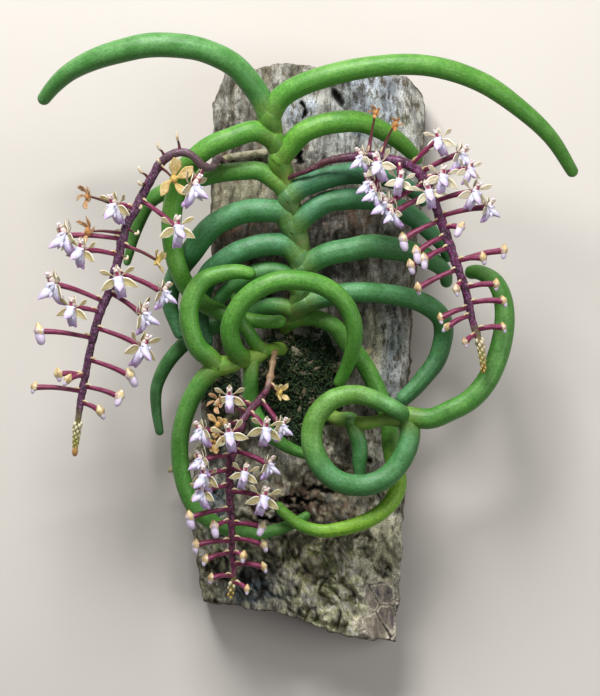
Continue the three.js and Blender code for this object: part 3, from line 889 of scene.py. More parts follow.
@dataclass(frozen=True)
class Root:
    """A root that runs over the bark and clings to it."""

    name: str
    points: Points
    width: float = 2.6
    sides: int = 16
    ring_step: float = 0.5
    swell_length: float = 3.0
    swell_share: float = 0.14

    def shell(self) -> Shell:
        """The root: a tube with slow swellings that narrows by two fifths to its rounded tip."""
        length = path_length(smooth_path(self.points, LENGTH_STEPS))
        share = np.linspace(0, 1, int(length / self.ring_step))
        path = smooth_path(self.points, len(share))
        slow = np.stack([share * length / self.swell_length, np.full(len(share), 2.5)], -1)
        swell = 1 + self.swell_share * noise(slow, len(self.points), 2)
        dome = np.sqrt(np.clip((1 - share) * length / 1.2, 0.05, 1))
        radii = self.width / 2 * (1 - 0.4 * share**4) * swell * dome
        shell = outward(tube(path, radii, self.sides))
        return shell.marked(tip=ease(length - 4, length, shell.marks["along"]))


# The slab and what grows on it

@dataclass(frozen=True)
class Spot:
    """A round patch of the bark, with soft edges."""

    x: float
    y: float
    across: float
    along: float
    lean: float = 0.0

    def share(self, at: Array) -> Array:
        """How much each place belongs to the patch, falling off as e to minus the squared distance.

        Args:
            at: rows of places seen from above.

        Returns:
            A share from 0 to 1 for each. The distance is in half widths and half lengths.
        """
        turn = math.radians(self.lean)
        x, y = at[:, 0] - self.x, at[:, 1] - self.y
        u = x * math.cos(turn) + y * math.sin(turn)
        v = y * math.cos(turn) - x * math.sin(turn)
        return np.exp(-((u / self.across) ** 2) - (v / self.along) ** 2)


Patches = tuple[Spot, ...]


def covered(patches: Patches, at: Array, gain: float = 1.0) -> Array:
    """How much each place lies in any of the patches: their shares' sum times the gain, at most 1."""
    return np.clip(sum(patch.share(at) for patch in patches) * gain, 0, 1)


@dataclass(frozen=True)
class BarkFinish:
    """Weathered cork bark: grey nodules with painted highlight on top, dark crevices of painted shade,
    pale lichen, green film and raw broken wood.
    """

    body: str = "8b8570"
    body_dark: str = "665e4e"
    # light grey painted as a highlight on the high places of the relief
    crest: str = "c6c3bb"
    # cream painted as a highlight on the lower part's lumps, and the real colour of the pale patches
    low_highlight_and_pale: str = "cbc6a3"
    # near black, painted as shade in the low places, pits and cracks
    crevice_shade: str = "1f1b16"
    lichen: str = "c9c9c6"
    frost: str = "cbd4df"
    film: str = "757b46"
    # dark brown, partly damp bark and partly painted shade where the leaves shadow the bark
    damp: str = "38312a"
    warm: str = "9c7c68"
    cool: str = "70808a"
    raw: str = "94897a"
    raw_dark: str = "4b4752"
    raw_edge: str = "e6dcc4"
    back: str = "7c6147"
    back_dark: str = "4f3c2b"

    def material(self) -> Skin:
        """The finish as a material that reads the marks the slab's surface carries."""
        sheet = Sheet("bark_skin")
        grain = sheet.speckle(0.8, (1.0, 0.35, 1.0), detail=7, roughness=0.7)
        fine = sheet.speckle(2.8, detail=5, roughness=0.75)
        blotch = sheet.speckle(0.4, shift=4.0, detail=6, roughness=0.7)
        wood = sheet.over(self.body, (self.body_dark, grain.step(0.44, 0.6)))
        # the painted highlight for high places, creamier on the lower lumps
        light = sheet.over(self.crest, (self.low_highlight_and_pale, sheet.mark("low") * blotch.step(0.4, 0.55)))
        for name, colour, pattern, low, high, most in (
            ("warm", self.warm, blotch, 0.38, 0.56, 1.0),
            ("film", self.film, blotch, 0.42, 0.58, 1.0),
            ("cool", self.cool, blotch, 0.36, 0.56, 1.0),
            # painted highlight where the relief is high
            ("crest", light, grain, 0.66, 0.4, 0.9),
            ("lichen", self.lichen, grain, 0.58, 0.44, 0.68),
            ("frost", self.frost, grain, 0.6, 0.46, 0.9),
            # damp bark together with painted shade from the leaves
            ("damp", self.damp, blotch, 0.62, 0.42, 0.8),
            ("pale", self.low_highlight_and_pale, grain, 0.68, 0.46, 0.9),
        ):
            wood = sheet.over(wood, (colour, sheet.mark(name) * pattern.step(low, high) * most))
        splinters = (sheet.mark("chip") * 0.6 + grain).step(0.55, 0.85)
        edges = sheet.mark("edge") * blotch.step(0.3, 0.44)
        torn = sheet.over(self.raw, (self.raw_dark, splinters), (self.raw_edge, edges))
        wood = sheet.over(wood, (torn, sheet.mark("raw")))
        wood = sheet.shade(wood, fine.step(0.28, 0.72), 0.45, 1.5)
        patches = sheet.speckle(0.3, (1.0, 0.6, 1.0), shift=12.0, detail=5, roughness=0.65)
        wood = sheet.shade(wood, patches.step(0.38, 0.62), 0.68, 1.38)
        sawn = sheet.speckle(0.5, (1.0, 0.25, 2.5), detail=6).step(0.35, 0.65)
        plain = sheet.shade(sheet.over(self.back, (self.back_dark, sawn)), fine, 0.5, 1.4)
        # painted shade: the hollow mark darkens low places, pits and cracks to near black
        wood = sheet.over(wood, (self.crevice_shade, sheet.mark("hollow")), (plain, sheet.mark("back")))
        relief = grain * 0.45 + fine * 0.55
        return sheet.finish(wood, fine * 0.15 + 0.82, relief, 1.0)


@dataclass(frozen=True)
class BarkSlab:
    """The slab of cork bark: a furrowed top, rough sides and a flat back.

    The scales of ridges are each a height share, a width and a seed, and those of lumps a height
    share, a width, a length and a seed. The patches are the marks that colour the bark.
    """

    outline: Rows
    thickness: float = 17.0
    crown: float = 3.0
    half_width: float = 28.0
    ridge: float = 0.7
    columns: int = 150
    rows: int = 360
    wall_rings: int = 20
    corners: tuple[int, int, int, int] = (0, 9, 13, 20)
    ridge_scales: Rows = ((1.0, 3.6, 11), (0.55, 1.9, 21), (0.26, 0.95, 31))
    ridge_height: float = 1.5
    lump_scales: Rows = ((1.0, 4.4, 5.6, 41), (0.65, 2.1, 2.7, 44), (0.3, 0.9, 1.2, 47))
    lump_height: float = 1.9
    rough_height: float = 0.16
    knot_height: float = 1.9
    pit_depth: float = 2.8
    patch_gain: float = 1.3
    knots: Patches = (
        Spot(-4.1, 64.1, 2.6, 4.6, 12), Spot(0.9, 66, 1.6, 2.6, 8), Spot(5.2, 66.5, 2.2, 4.5, 30),
    )
    pits: Patches = (
        Spot(-0.9, 64.4, 0.9, 3.6, 10), Spot(-2.4, 52.2, 1.8, 2.3), Spot(8.2, 68.4, 1.3, 4.0, 35),
        Spot(-8, -46, 7, 1.2, 12), Spot(5, -38.5, 8, 1.1, -6), Spot(-3, -41.5, 6, 0.9, 4),
        Spot(-24, -9, 4, 7),
    )
    raws: Patches = (Spot(20.5, -69, 4.2, 7.0, 30), Spot(18, -77, 6, 2.6, -28))
    patches: tuple[tuple[str, Patches], ...] = (
        ("lichen", (
            Spot(20, 66, 11, 9), Spot(26, 48, 5, 16), Spot(5, 55, 7, 6), Spot(22, -45, 5, 14),
            Spot(20, -57, 6, 9),
        )),
        ("frost", (
            Spot(-4.1, 64.1, 2.9, 4.6, 12), Spot(0.9, 66, 1.5, 2.4), Spot(20.5, -2, 4.6, 12),
            Spot(17, 73, 8, 3), Spot(15.5, 66, 3, 6), Spot(22, 63, 2.5, 8),
        )),
        ("film", (
            Spot(0, -60, 20, 9), Spot(8, -72, 14, 6), Spot(-24, -50, 6, 14), Spot(8, 66, 7, 5),
            Spot(14, 57, 8, 4), Spot(24, 57, 5, 6),
        )),
        ("warm", (
            Spot(-15, 48, 10, 7), Spot(-16, 33, 9, 8), Spot(0, -42, 16, 5), Spot(9, 36, 10, 5),
            Spot(-4, -62, 6, 5),
        )),
        ("cool", (Spot(-14, -66, 8, 6), Spot(-26, -40, 6, 10), Spot(12, 62, 8, 8))),
        # damp bark and painted shade, most of it where the leaves hang over the bark between them
        ("damp", (
            Spot(7, 33, 10, 5), Spot(5, 21, 13, 5), Spot(2, 51.5, 4, 3), Spot(-15, 22, 9, 9),
            Spot(19, 9.5, 8, 2.2), Spot(12, 69, 4, 6, 35), Spot(-20, 60, 5, 8), Spot(-18, -62, 8, 6),
        )),
        ("pale", (Spot(20, -55, 6, 10), Spot(-18, 42, 8, 4.5), Spot(18, 0, 3, 9))),
    )
    on_sides: tuple[str, ...] = ("lichen", "film", "warm", "low")

    def cad_height(self, at: Array) -> Array:
        """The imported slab's own top: a crown across, waves along it and slow cracks across it.

        Args:
            at: rows of places seen from above.

        Returns:
            The height over each.
        """
        x, y = at.T
        crown = self.thickness - self.crown * (x / self.half_width) ** 2
        ridges = self.ridge * np.sin(x * 0.75 + 1.4 * np.sin(y * 0.07))
        return crown + ridges + 0.5 * self.ridge * np.sin(y * 0.42 + x * 0.21)

    def edge(self, start: int, end: int, count: int) -> Array:
        """Places along the outline, chipped by noise except at the two ends.

        Args:
            start: the outline's point to start from.
            end: the point to stop at.
            count: how many evenly spaced places there are.

        Returns:
            One row for each place.
        """
        ring = np.array(self.outline, float)
        chain = ring[np.arange(start, end + 1) % len(ring)]
        lengths = lengths_along(chain)
        wanted = np.linspace(0, lengths[-1], count)
        places = np.stack([np.interp(wanted, lengths, chain[:, axis]) for axis in (0, 1)], -1)
        held = np.minimum(1, np.minimum(wanted, lengths[-1] - wanted) / 3)[:, None]
        chips = np.stack([noise(places / 4.5 + shift, 31, 3) for shift in (0.0, 40.0)], -1)
        return places + 0.55 * chips * held

    def plan(self) -> Array:
        """The top's grid seen from above.

        Each place is the blend between the left and right edges, plus the blend between the lower and
        upper ones, less the blend of the four corners.
        """
        first, second, third, fourth = self.corners
        left = self.edge(first, second, self.rows)
        top = self.edge(second, third, self.columns)
        right = self.edge(third, fourth, self.rows)[::-1]
        bottom = self.edge(fourth, len(self.outline), self.columns)[::-1]
        s = np.linspace(0, 1, self.columns)[None, :, None]
        t = np.linspace(0, 1, self.rows)[:, None, None]
        across = (1 - s) * left[:, None] + s * right[:, None]
        along = (1 - t) * bottom[None] + t * top[None]
        plain = (1 - s) * ((1 - t) * left[0] + t * left[-1]) + s * ((1 - t) * right[0] + t * right[-1])
        return across + along - plain

    def ridges(self, bent: Array) -> Array:
        """Ridges along the slab, at rows of bent places.

        Each scale of them is the size of a smooth noise without its sign, so that round tops meet in
        sharp crevices where the noise passes zero.
        """
        return sum(
            share * np.abs(noise(bent / (wide, wide * 3.0), seed)) ** 0.75
            for share, wide, seed in self.ridge_scales
        )

    def lumps(self, at: Array, bent: Array) -> Array:
        """Domed lumps, which rise with the distance d from the crack round them as 2d - d^2.

        Args:
            at: rows of places seen from above.
            bent: the same places, pushed aside by slow noise.

        Returns:
            The height at each. In some parts the lumps merge.
        """
        u, v = bent.T
        merged = 0.6 * ease(-0.1, 0.5, noise(at / (5, 6), 39, 2))
        height = 0.75 * noise(at / (7, 9), 38, 2) - 0.95
        for share, wide, tall, seed in self.lump_scales:
            wave = 0.5 * noise(at / wide, seed + 1, 2)
            crack, lump = cells(np.stack([u / wide + wave, v / tall + 0.4 * u / wide - wave], -1), seed)
            dome = np.clip(1.1 * crack + merged, 0, 1)
            height += share * (2 * dome - dome * dome) * (0.45 + 0.9 * lump)
        return height

    def relief(self, at: Array) -> tuple[Array, dict[str, Array]]:
        """The bark's fine form.

        Towards the slab's foot the ridges give way to lumps. Knots stand up, pits sink, and the torn
        wood is made of flat chips, each tilted and sunk in its own way.

        Args:
            at: rows of places seen from above.

        Returns:
            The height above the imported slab's top, and the marks that colour it.
        """
        x, y = at.T
        aside = np.stack([noise(at / (9, 14), 5, 2), noise(at / (9, 14) + 9, 6, 2)], -1)
        bent = at + aside * (1.5, 2.5)
        low = 1 - ease(-48, -5, y)
        rough = noise(at / (0.8, 1.3), 51, 2)
        height = (1 - low) * self.ridge_height * (self.ridges(bent) - 0.62)
        height += low * self.lump_height * self.lumps(at, bent)
        height += self.rough_height * rough
        knot = covered(self.knots, at)
        height = height * (1 - 0.7 * knot) + self.knot_height * knot**0.7
        raw = ease(0.3, 0.7, covered(self.raws, at, 1.4) + 0.12 * rough)
        split, chip = cells(np.stack([x / 5.5 + y / 11, y / 7.5 - x / 14], -1), 77)
        facet = (chip - 0.5) * ((x - 20) * 0.7 + (y + 70) * 0.25) + 1.6 * (chip * 7 % 1 - 0.5)
        height = height * (1 - raw) + raw * (facet + 0.6 + 0.5 * noise(at / (1.2, 3), 91, 2))
        torn = 1.1 * noise(at / 1.7, 95, 2)
        pit = covered(self.pits, at + torn[:, None] * (1, -1))
        height -= self.pit_depth * ease(0.3, 0.95, pit)
        # painted shade that grows as the relief sinks; it goes into the hollow mark
        deep = ease(0.0, -1.2 - 0.9 * low, height) * 0.85 * (1 - raw)
        marks = {name: covered(spots, at, self.patch_gain) for name, spots in self.patches}
        # the crest mark is a painted highlight that rises with height; the hollow mark is painted shade
        # in low places, pits and the raw wood's cracks
        marks |= {"low": low, "raw": raw, "chip": chip, "crest": ease(-0.4, 0.9 + 0.3 * low, height)}
        marks["hollow"] = np.clip(deep + ease(0.3, 0.8, pit) + raw * (1 - ease(0.0, 0.12, split)), 0, 1)
        marks["edge"] = np.maximum(1 - ease(0.05, 0.22 + 0.1 * rough, split), 1 - ease(0.6, 0.95, raw))
        return height, marks

    def walls(self, rim: Array, middle: Array, fall: Array) -> tuple[Array, Array]:
        """The slab's rough sides.

        Args:
            rim: the places along the top's rim.
            middle: the middle of the top, seen from above.
            fall: each ring's share of the way down to the back.

        Returns:
            The places ring by ring, which bulge by noise in flat layers, and that noise.
        """
        z = rim[None, :, 2] * (1 - fall)
        beside = (rim[None, :, axis] / 3 for axis in (0, 1))
        layers = noise(np.stack(np.broadcast_arrays(*beside, z / 1.4), -1), 61, 3)
        held = np.sin(math.pi * np.clip(fall * 1.02, 0, 1)) ** 0.5
        bulge = (0.45 * layers + 0.5 * np.sin(math.pi * fall)) * held
        plan = rim[None, :, :2] + bulge[..., None] * unit(rim[:, :2] - middle)[None]
        return np.concatenate([plan, z[..., None]], -1).reshape(-1, 3), layers

    def shell(self) -> Shell:
        """The whole slab: the top's grid, rings of wall down from its rim, and a flat fan behind."""
        plan = self.plan().reshape(-1, 2)
        height, marks = self.relief(plan)
        top = np.column_stack([plan, self.cad_height(plan) + height])
        index = np.arange(len(top)).reshape(self.rows, self.columns)
        faces = np.stack([index[:-1, :-1], index[:-1, 1:], index[1:, 1:], index[1:, :-1]], -1)
        rim = np.concatenate([index[0, :-1], index[:-1, -1], index[-1, :0:-1], index[:0:-1, 0]])
        count = len(rim)
        middle = top[:, :2].mean(0)
        fall = np.linspace(0, 1, self.wall_rings + 1)[1:, None]
        walls, layers = self.walls(top[rim], middle, fall)
        ring = len(top) + np.arange(len(walls)).reshape(self.wall_rings, count)
        ring = np.vstack([rim, ring])
        after = np.roll(ring, -1, axis=1)
        wall_faces = np.stack([ring[:-1], ring[1:], after[1:], after[:-1]], -1)
        back = len(top) + len(walls)
        fan = np.stack([np.full(count, back), after[-1], ring[-1]], -1)
        quads = np.vstack([faces.reshape(-1, 4), wall_faces.reshape(-1, 4)])
        shell = Shell(np.vstack([top, walls, [[*middle, 0.0]]]), quads, fan)
        for name, values in marks.items():
            carried = 0.6 * (name in self.on_sides) * np.tile(values[rim], self.wall_rings)
            marks[name] = np.concatenate([values, carried, [0.0]])
        # painted shade on the sides: darker in their recessed layers, and a little all over
        marks["hollow"][len(top) : back] = 0.5 * ease(0.1, -0.6, layers).ravel() + 0.15
        behind = np.concatenate([ease(0.15, 0.5, np.repeat(fall[:, 0], count)), [1.0]])
        marks["back"] = np.concatenate([np.zeros(len(top)), behind])
        return outward(shell).marked(**marks)


# The racemes

class Part(Enum):
    """What a piece of a raceme is; each kind is one mesh with one finish."""

    STALK = "stalk"
    PEDICELS = "pedicels"
    TEPALS = "tepals"
    LIPS = "lips"
    COLUMNS = "columns"
    BUDS = "buds"
    WITHERED = "withered"


@dataclass(frozen=True)
class RacemeFinish:
    """The colours of one raceme's stalk, flowers and buds."""

    raceme: str
    stalk: str = "5b2a50"
    stalk_dark: str = "321420"
    # mauve for the axis's mottles, partly a painted highlight
    stalk_mottle_and_highlight: str = "a587a8"
    stalk_old: str = "665250"
    pedicel: str = "762044"
    # paler magenta for lines along the ribs, partly a painted highlight
    pedicel_pale_and_highlight: str = "b0608a"
    pedicel_dry: str = "552f1c"
    tepal: str = "b3a676"
    tepal_streak: str = "82744a"
    tepal_rim: str = "f5ecdc"
    lip: str = "dcd9ec"
    # grey painted as shade in the lip's folds
    lip_fold_shade: str = "a9a8c4"
    lip_tip: str = "bf8fd0"
    lip_heart: str = "9c1f55"
    cap: str = "f2dfe4"
    bud: str = "d6bf88"
    bud_line: str = "7c4e24"
    bud_rust: str = "a06a3c"
    bud_spur: str = "dccbe6"
    green: str = "a9b24a"
    gold: str = "c8964a"
    rust: str = "a85427"
    amber: str = "d9b850"
    bleached: str = "eae0c4"

    def sheet(self, part: Part) -> Sheet:
        """An empty material for one kind of the raceme's pieces."""
        return Sheet(f"{self.raceme}_{part.value}_skin")

    def stalk_skin(self) -> Skin:
        """The axis: dark purple with mauve mottles, partly painted highlight, brown where it is old,
        green where it grows.
        """
        sheet = self.sheet(Part.STALK)
        blotch = sheet.speckle(1.0, detail=4)
        mottle = sheet.speckle(2.0, shift=6.0, detail=3, roughness=0.6)
        skin = sheet.over(
            self.stalk,
            (self.stalk_dark, blotch.step(0.42, 0.58)),
            (self.stalk_old, sheet.mark("old") * 0.8),
            # mauve mottles, partly painted highlight, fewer where the axis is old
            (self.stalk_mottle_and_highlight, mottle.step(0.52, 0.66) * (0.52 - sheet.mark("old") * 0.2)),
            (self.green, sheet.mark("green")),
            (self.gold, sheet.mark("gold")),
            (self.bleached, sheet.mark("cream")),
        )
        ribs = sheet.lines(8, 0.2)
        return sheet.finish(sheet.shade(skin, ribs, 0.65, 1.35), 0.45, ribs * 0.5 + mottle * 0.5, 0.3)

    def pedicel_skin(self) -> Skin:
        """The flower stalks: magenta, paler along their ribs, partly by painted highlight, brown where
        they have dried.
        """
        sheet = self.sheet(Part.PEDICELS)
        lines = sheet.lines(6, 0.25)
        # pale lines along the ribs, partly painted highlight
        skin = sheet.over(self.pedicel, (self.pedicel_pale_and_highlight, lines.step(0.5, 0.68) * 0.65))
        skin = sheet.shade(skin, sheet.speckle(1.6), 0.7, 1.3)
        skin = sheet.over(skin, (self.pedicel_dry, sheet.mark("dry")))
        return sheet.finish(skin, 0.38, lines * 0.7 + sheet.speckle(5.0) * 0.3, 0.22)

    def tepal_skin(self) -> Skin:
        """Petals and sepals: tan with brownish streaks, and a pale rim."""
        sheet = self.sheet(Part.TEPALS)
        edge = sheet.mark("across") * sheet.mark("across")
        streaks = sheet.lines(3.4, 0.16, "across")
        skin = sheet.over(self.tepal, (self.tepal_streak, streaks.step(0.46, 0.66) * (1 - edge) * 0.7))
        skin = sheet.shade(skin, sheet.speckle(1.4, detail=4), 0.75, 1.25)
        skin = sheet.over(skin, (self.tepal_rim, edge.step(0.35, 0.8)))
        return sheet.finish(skin, 0.42, streaks, 0.12, Subsurface_Weight=0.15, Subsurface_Scale=0.8 * MM)

    def lip_skin(self) -> Skin:
        """The lip: lavender white, with painted grey shade in its folds, and lilac towards its ends."""
        sheet = self.sheet(Part.LIPS)
        # the first noise places the painted fold shade
        folds, grains = sheet.speckle(0.9, detail=4), sheet.speckle(4.0)
        skin = sheet.over(
            self.lip,
            (self.lip_fold_shade, folds.step(0.5, 0.68) * 0.6),
            (self.lip_tip, sheet.mark("tip") * (sheet.speckle(1.2) * 0.7 + 0.5)),
        )
        skin, rough = sheet.shade(skin, grains, 0.8, 1.2), grains * 0.2 + 0.35
        return sheet.finish(skin, rough, grains, 0.14, Subsurface_Weight=0.15, Subsurface_Scale=MM)

    def column_skin(self) -> Skin:
        """The column: white and pink, with a deep magenta hollow below its horned cap."""
        sheet = self.sheet(Part.COLUMNS)
        heart = (self.lip_heart, sheet.mark("heart"))
        skin = sheet.over(self.tepal, (self.cap, sheet.mark("tip")), heart)
        return sheet.finish(skin, 0.3, sheet.speckle(5.0), 0.08)

    def bud_skin(self) -> Skin:
        """A bud: cream-tan sepals with brown lines and seams, above a lavender spur."""
        sheet = self.sheet(Part.BUDS)
        lines = sheet.lines(6, 0.3)
        cap = sheet.over(
            self.tepal_rim,
            (self.bud, sheet.speckle(0.8, detail=4).step(0.34, 0.5)),
            (self.bud_line, lines.step(0.56, 0.7) * 0.5),
            (self.bud_line, sheet.mark("seam") * 0.8),
            (self.bud_rust, sheet.mark("rusty") * sheet.speckle(0.9, shift=7.0).step(0.4, 0.6)),
        )
        skin = sheet.over(self.bud_spur, (cap, sheet.mark("tip")))
        skin = sheet.shade(skin, sheet.speckle(1.8, detail=4), 0.77, 1.27)
        return sheet.finish(skin, 0.4, lines, 0.14, Subsurface_Weight=0.1, Subsurface_Scale=MM)

    def withered_skin(self) -> Skin:
        """Withered flowers and scales: papery, from rust to amber by the mark gold, bleached by tip."""
        sheet = self.sheet(Part.WITHERED)
        worn, crinkle = sheet.speckle(1.3, detail=4), sheet.speckle(3.5, detail=4)
        skin = sheet.over(self.rust, (self.amber, sheet.mark("gold")))
        skin = sheet.shade(skin, worn, 0.55, 1.45)
        skin = sheet.over(skin, (self.bleached, sheet.mark("tip") * worn.step(0.25, 0.6)))
        return sheet.finish(sheet.shade(skin, crinkle, 0.75, 1.25), 0.6, crinkle, 0.25)


def turned(pitch: float, yaw: float, roll: float) -> Array:
    """The matrix that rolls about Z, then pitches about X, then turns about Y.

    Args:
        pitch: the angle about X, in radians.
        yaw: the angle about Y.
        roll: the angle about Z.

    Returns:
        A 3 x 3 matrix.
    """
    (cx, sx), (cy, sy), (cz, sz) = ((math.cos(a), math.sin(a)) for a in (pitch, yaw, roll))
    about_x = np.array([[1, 0, 0], [0, cx, -sx], [0, sx, cx]])
    about_y = np.array([[cy, 0, sy], [0, 1, 0], [-sy, 0, cy]])
    about_z = np.array([[cz, -sz, 0], [sz, cz, 0], [0, 0, 1]])
    return about_y @ about_x @ about_z


def mirrored(points: Sequence[Point], side: int) -> list[Point]:
    """A line of points beside the middle, or its mirror image where the side is -1."""
    return [(x * side, y, z) for x, y, z in points]


def blade(
    points: Line,
    width: float,
    thick: float,
    cup: float,
    rings: int = 9,
    sides: int = 10,
    point: float = 0.6,
) -> Shell:
    """A thin closed blade, such as a petal, along a smooth line that starts at its foot.

    Its half width goes as the sine of pi times the share to a power below 1, kept above a fifth at the
    foot; its section is a flat ellipse, bent forward at its edges by the cup times the square of the
    place across.

    Args:
        points: the line along its middle.
        width: the greatest width.
        thick: the thickness.
        cup: how far the edges come forward.
        rings: how many steps it has along.
        sides: how many places each ring has.
        point: the power of the share; a smaller one puts the widest place nearer the foot.

    Returns:
        The blade, marked with its place across from -1 to 1 and its share along as tip.
    """
    share = 1 - (1 - np.linspace(0, 1, rings)) ** 1.35
    path = smooth_path(points, share)
    half = width / 2 * np.maximum(np.sin(math.pi * share**point * 0.985), 0.22 * (1 - share) + 0.04)
    half_thick = np.full(rings, thick / 2) * np.sqrt(np.clip((1 - share) * 4, 0.15, 1))
    shell = tube(path, half_thick, sides, (0, 0, 1), half / half_thick)
    across = np.sin(shell.marks["around"] * FULL_TURN)
    across[-2:] = 0
    lift = np.concatenate([np.repeat(half / half.max(), sides), [0, 0]])
    shell.places[:, 2] += cup * (across * lift) ** 2
    ends = np.concatenate([np.repeat(share, sides), [0.0, 1.0]])
    return outward(shell).marked(across=across, tip=ends)


def pod(
    points: Line,
    radii: Sequence[float],
    rings: int = 9,
    sides: int = 10,
    flat: float = 1.0,
) -> Shell:
    """A closed rounded body along a smooth line.

    Both ends close in a dome: where the share d of the length to the end is below a fifth, the radius
    is multiplied by the root of 1 - (1 - 5d)^2.

    Args:
        points: the line along its middle.
        radii: radii at even steps along it, with straight runs between them.
        rings: how many rings it has.
        sides: how many places each ring has.
        flat: its width across the first direction, as a share of the radius.

    Returns:
        The body, marked with its share along as tip.
    """
    share = (1 - np.cos(np.linspace(0, math.pi, rings))) / 2
    path = smooth_path(points, share)
    wanted = np.interp(share, np.linspace(0, 1, len(radii)), radii)
    near = np.clip(np.minimum(share, 1 - share) * 5, 0, 1)
    dome = np.sqrt(np.clip(1 - (1 - near) ** 2, 0.03, 1))
    shell = tube(path, wanted * dome, sides, (0.3, 0.2, 1), flat)
    return outward(shell).marked(tip=np.concatenate([np.repeat(share, sides), [0.0, 1.0]]))


@dataclass(frozen=True)
class Bloom:
    """One flower: five tepals, a column with a horned anther cap, and a lip with a spur and a front lobe.

    The lines run along the middle of the lip's parts, those of the paired ones on the right side.
    """

    petal: tuple[float, float] = (6.2, 1.75)
    sepal: tuple[float, float] = (6.5, 2.9)
    dorsal: tuple[float, float] = (4.4, 2.1)
    thick: float = 0.42
    spur_line: Points = ((0, 0.3, 0.8), (0, -1.8, 0.7), (0, -3.9, -0.3), (0, -5.7, -1.7))
    body_line: Points = ((0, 1.0, 1.0), (0, -0.6, 1.9), (0, -2.6, 2.2))
    front_line: Points = ((0, -0.9, 1.7), (0, -2.1, 3.2), (0, -3.0, 4.6), (0, -3.9, 5.9))
    corner_line: Points = ((0.55, -4.7, -1.1), (0.95, -5.5, -1.6), (1.2, -6.1, -2.0))
    ear_line: Points = ((0.8, 0.2, 1.2), (1.35, -0.1, 2.2), (1.5, 0.2, 3.0))
    fold_line: Points = ((0.5, -2.0, 2.0), (1.1, -3.0, 2.4), (1.5, -3.7, 2.6))
    post_line: Points = ((0, 0.2, 0.6), (0, 1.2, 1.5), (0, 2.1, 2.0))
    cap_line: Points = ((0, 1.9, 1.7), (0, 2.5, 2.2), (0, 3.0, 2.4))
    horn_line: Points = ((0.45, 2.6, 2.2), (0.65, 3.1, 2.6), (0.7, 3.5, 2.8))
    hollow: Point = (0, 1.3, 2.5)

    def tepals(self, wilt: float) -> Shell:
        """Two slender spoon-shaped petals, two wide pointed sepals below, and one behind the column.

        Args:
            wilt: how far they have turned and curled, from -1 to 1.

        Returns:
            The five tepals.
        """
        made = []
        for angle, (length, width), rise, cup, widest in (
            (31, self.petal, 1.7, 0.2, 2.1),
            (150, self.petal, 1.5, 0.2, 2.1),
            (-29, self.sepal, 0.5, 0.55, 0.8),
            (208, self.sepal, 0.3, 0.55, 0.8),
            (90, self.dorsal, 0.4, 0.8, 1.0),
        ):
            turn = math.radians(angle + 6 * wilt)
            out = np.array([math.cos(turn), math.sin(turn), 0.0])
            curl = 1.1 * wilt if widest > 2 else 0.5 * wilt
            heights = ((0.08, 0.3), (0.35, -0.25), (0.7, 0.35 * rise), (1.0, rise))
            line = [out * length * share + (0, curl * share * (share - 0.6), z) for share, z in heights]
            made.append(blade(line, width, self.thick, cup, 11, 10, widest))
        return joined(made)

    def lip(self) -> Shell:
        """The lip: a blunt spur with two corners, a fleshy front lobe and two small side lobes."""
        spur = pod(self.spur_line, (0.8, 1.1, 1.3, 1.0), 12, 14, 1.3)
        body = pod(self.body_line, (0.75, 1.2, 0.8), 9, 14, 1.35)
        front = pod(self.front_line, (0.9, 1.1, 0.85, 0.12), 11, 12, 1.45)
        spur.marked(tip=ease(0.35, 0.95, spur.marks["tip"]))
        front.marked(tip=0.65 * ease(0.35, 1.0, front.marks["tip"]))
        parts = [spur, body.marked(tip=0.0), front]
        for side in (-1, 1):
            corner = pod(mirrored(self.corner_line, side), (0.8, 0.7, 0.25), 6, 9)
            ear = blade(mirrored(self.ear_line, side), 1.3, 0.5, 0.1, 6, 8)
            fold = pod(mirrored(self.fold_line, side), (0.7, 0.65, 0.2), 6, 9)
            corner.marked(tip=0.75 + 0.25 * corner.marks["tip"])
            ear.marked(tip=0.3 * ear.marks["tip"])
            fold.marked(tip=0.6 * ease(0.4, 1.0, fold.marks["tip"]))
            parts += [corner, ear, fold]
        return joined(parts)

    def column(self) -> Shell:
        """The short column with a deep hollow before it, and the anther cap with its two blunt horns."""
        post = pod(self.post_line, (0.8, 0.95, 0.8), 8, 12, 1.2).marked(tip=0.6)
        cap = pod(self.cap_line, (0.7, 0.85, 0.55), 7, 10, 1.25).marked(tip=0.45)
        horns = [pod(mirrored(self.horn_line, side), (0.4, 0.42, 0.34), 6, 8) for side in (-1, 1)]
        shell = joined([post, cap, *(horn.marked(tip=1.0) for horn in horns)])
        away = np.linalg.norm((shell.places - self.hollow) * (1.3, 1, 0.8), axis=1)
        return shell.marked(heart=ease(1.15, 0.6, away))


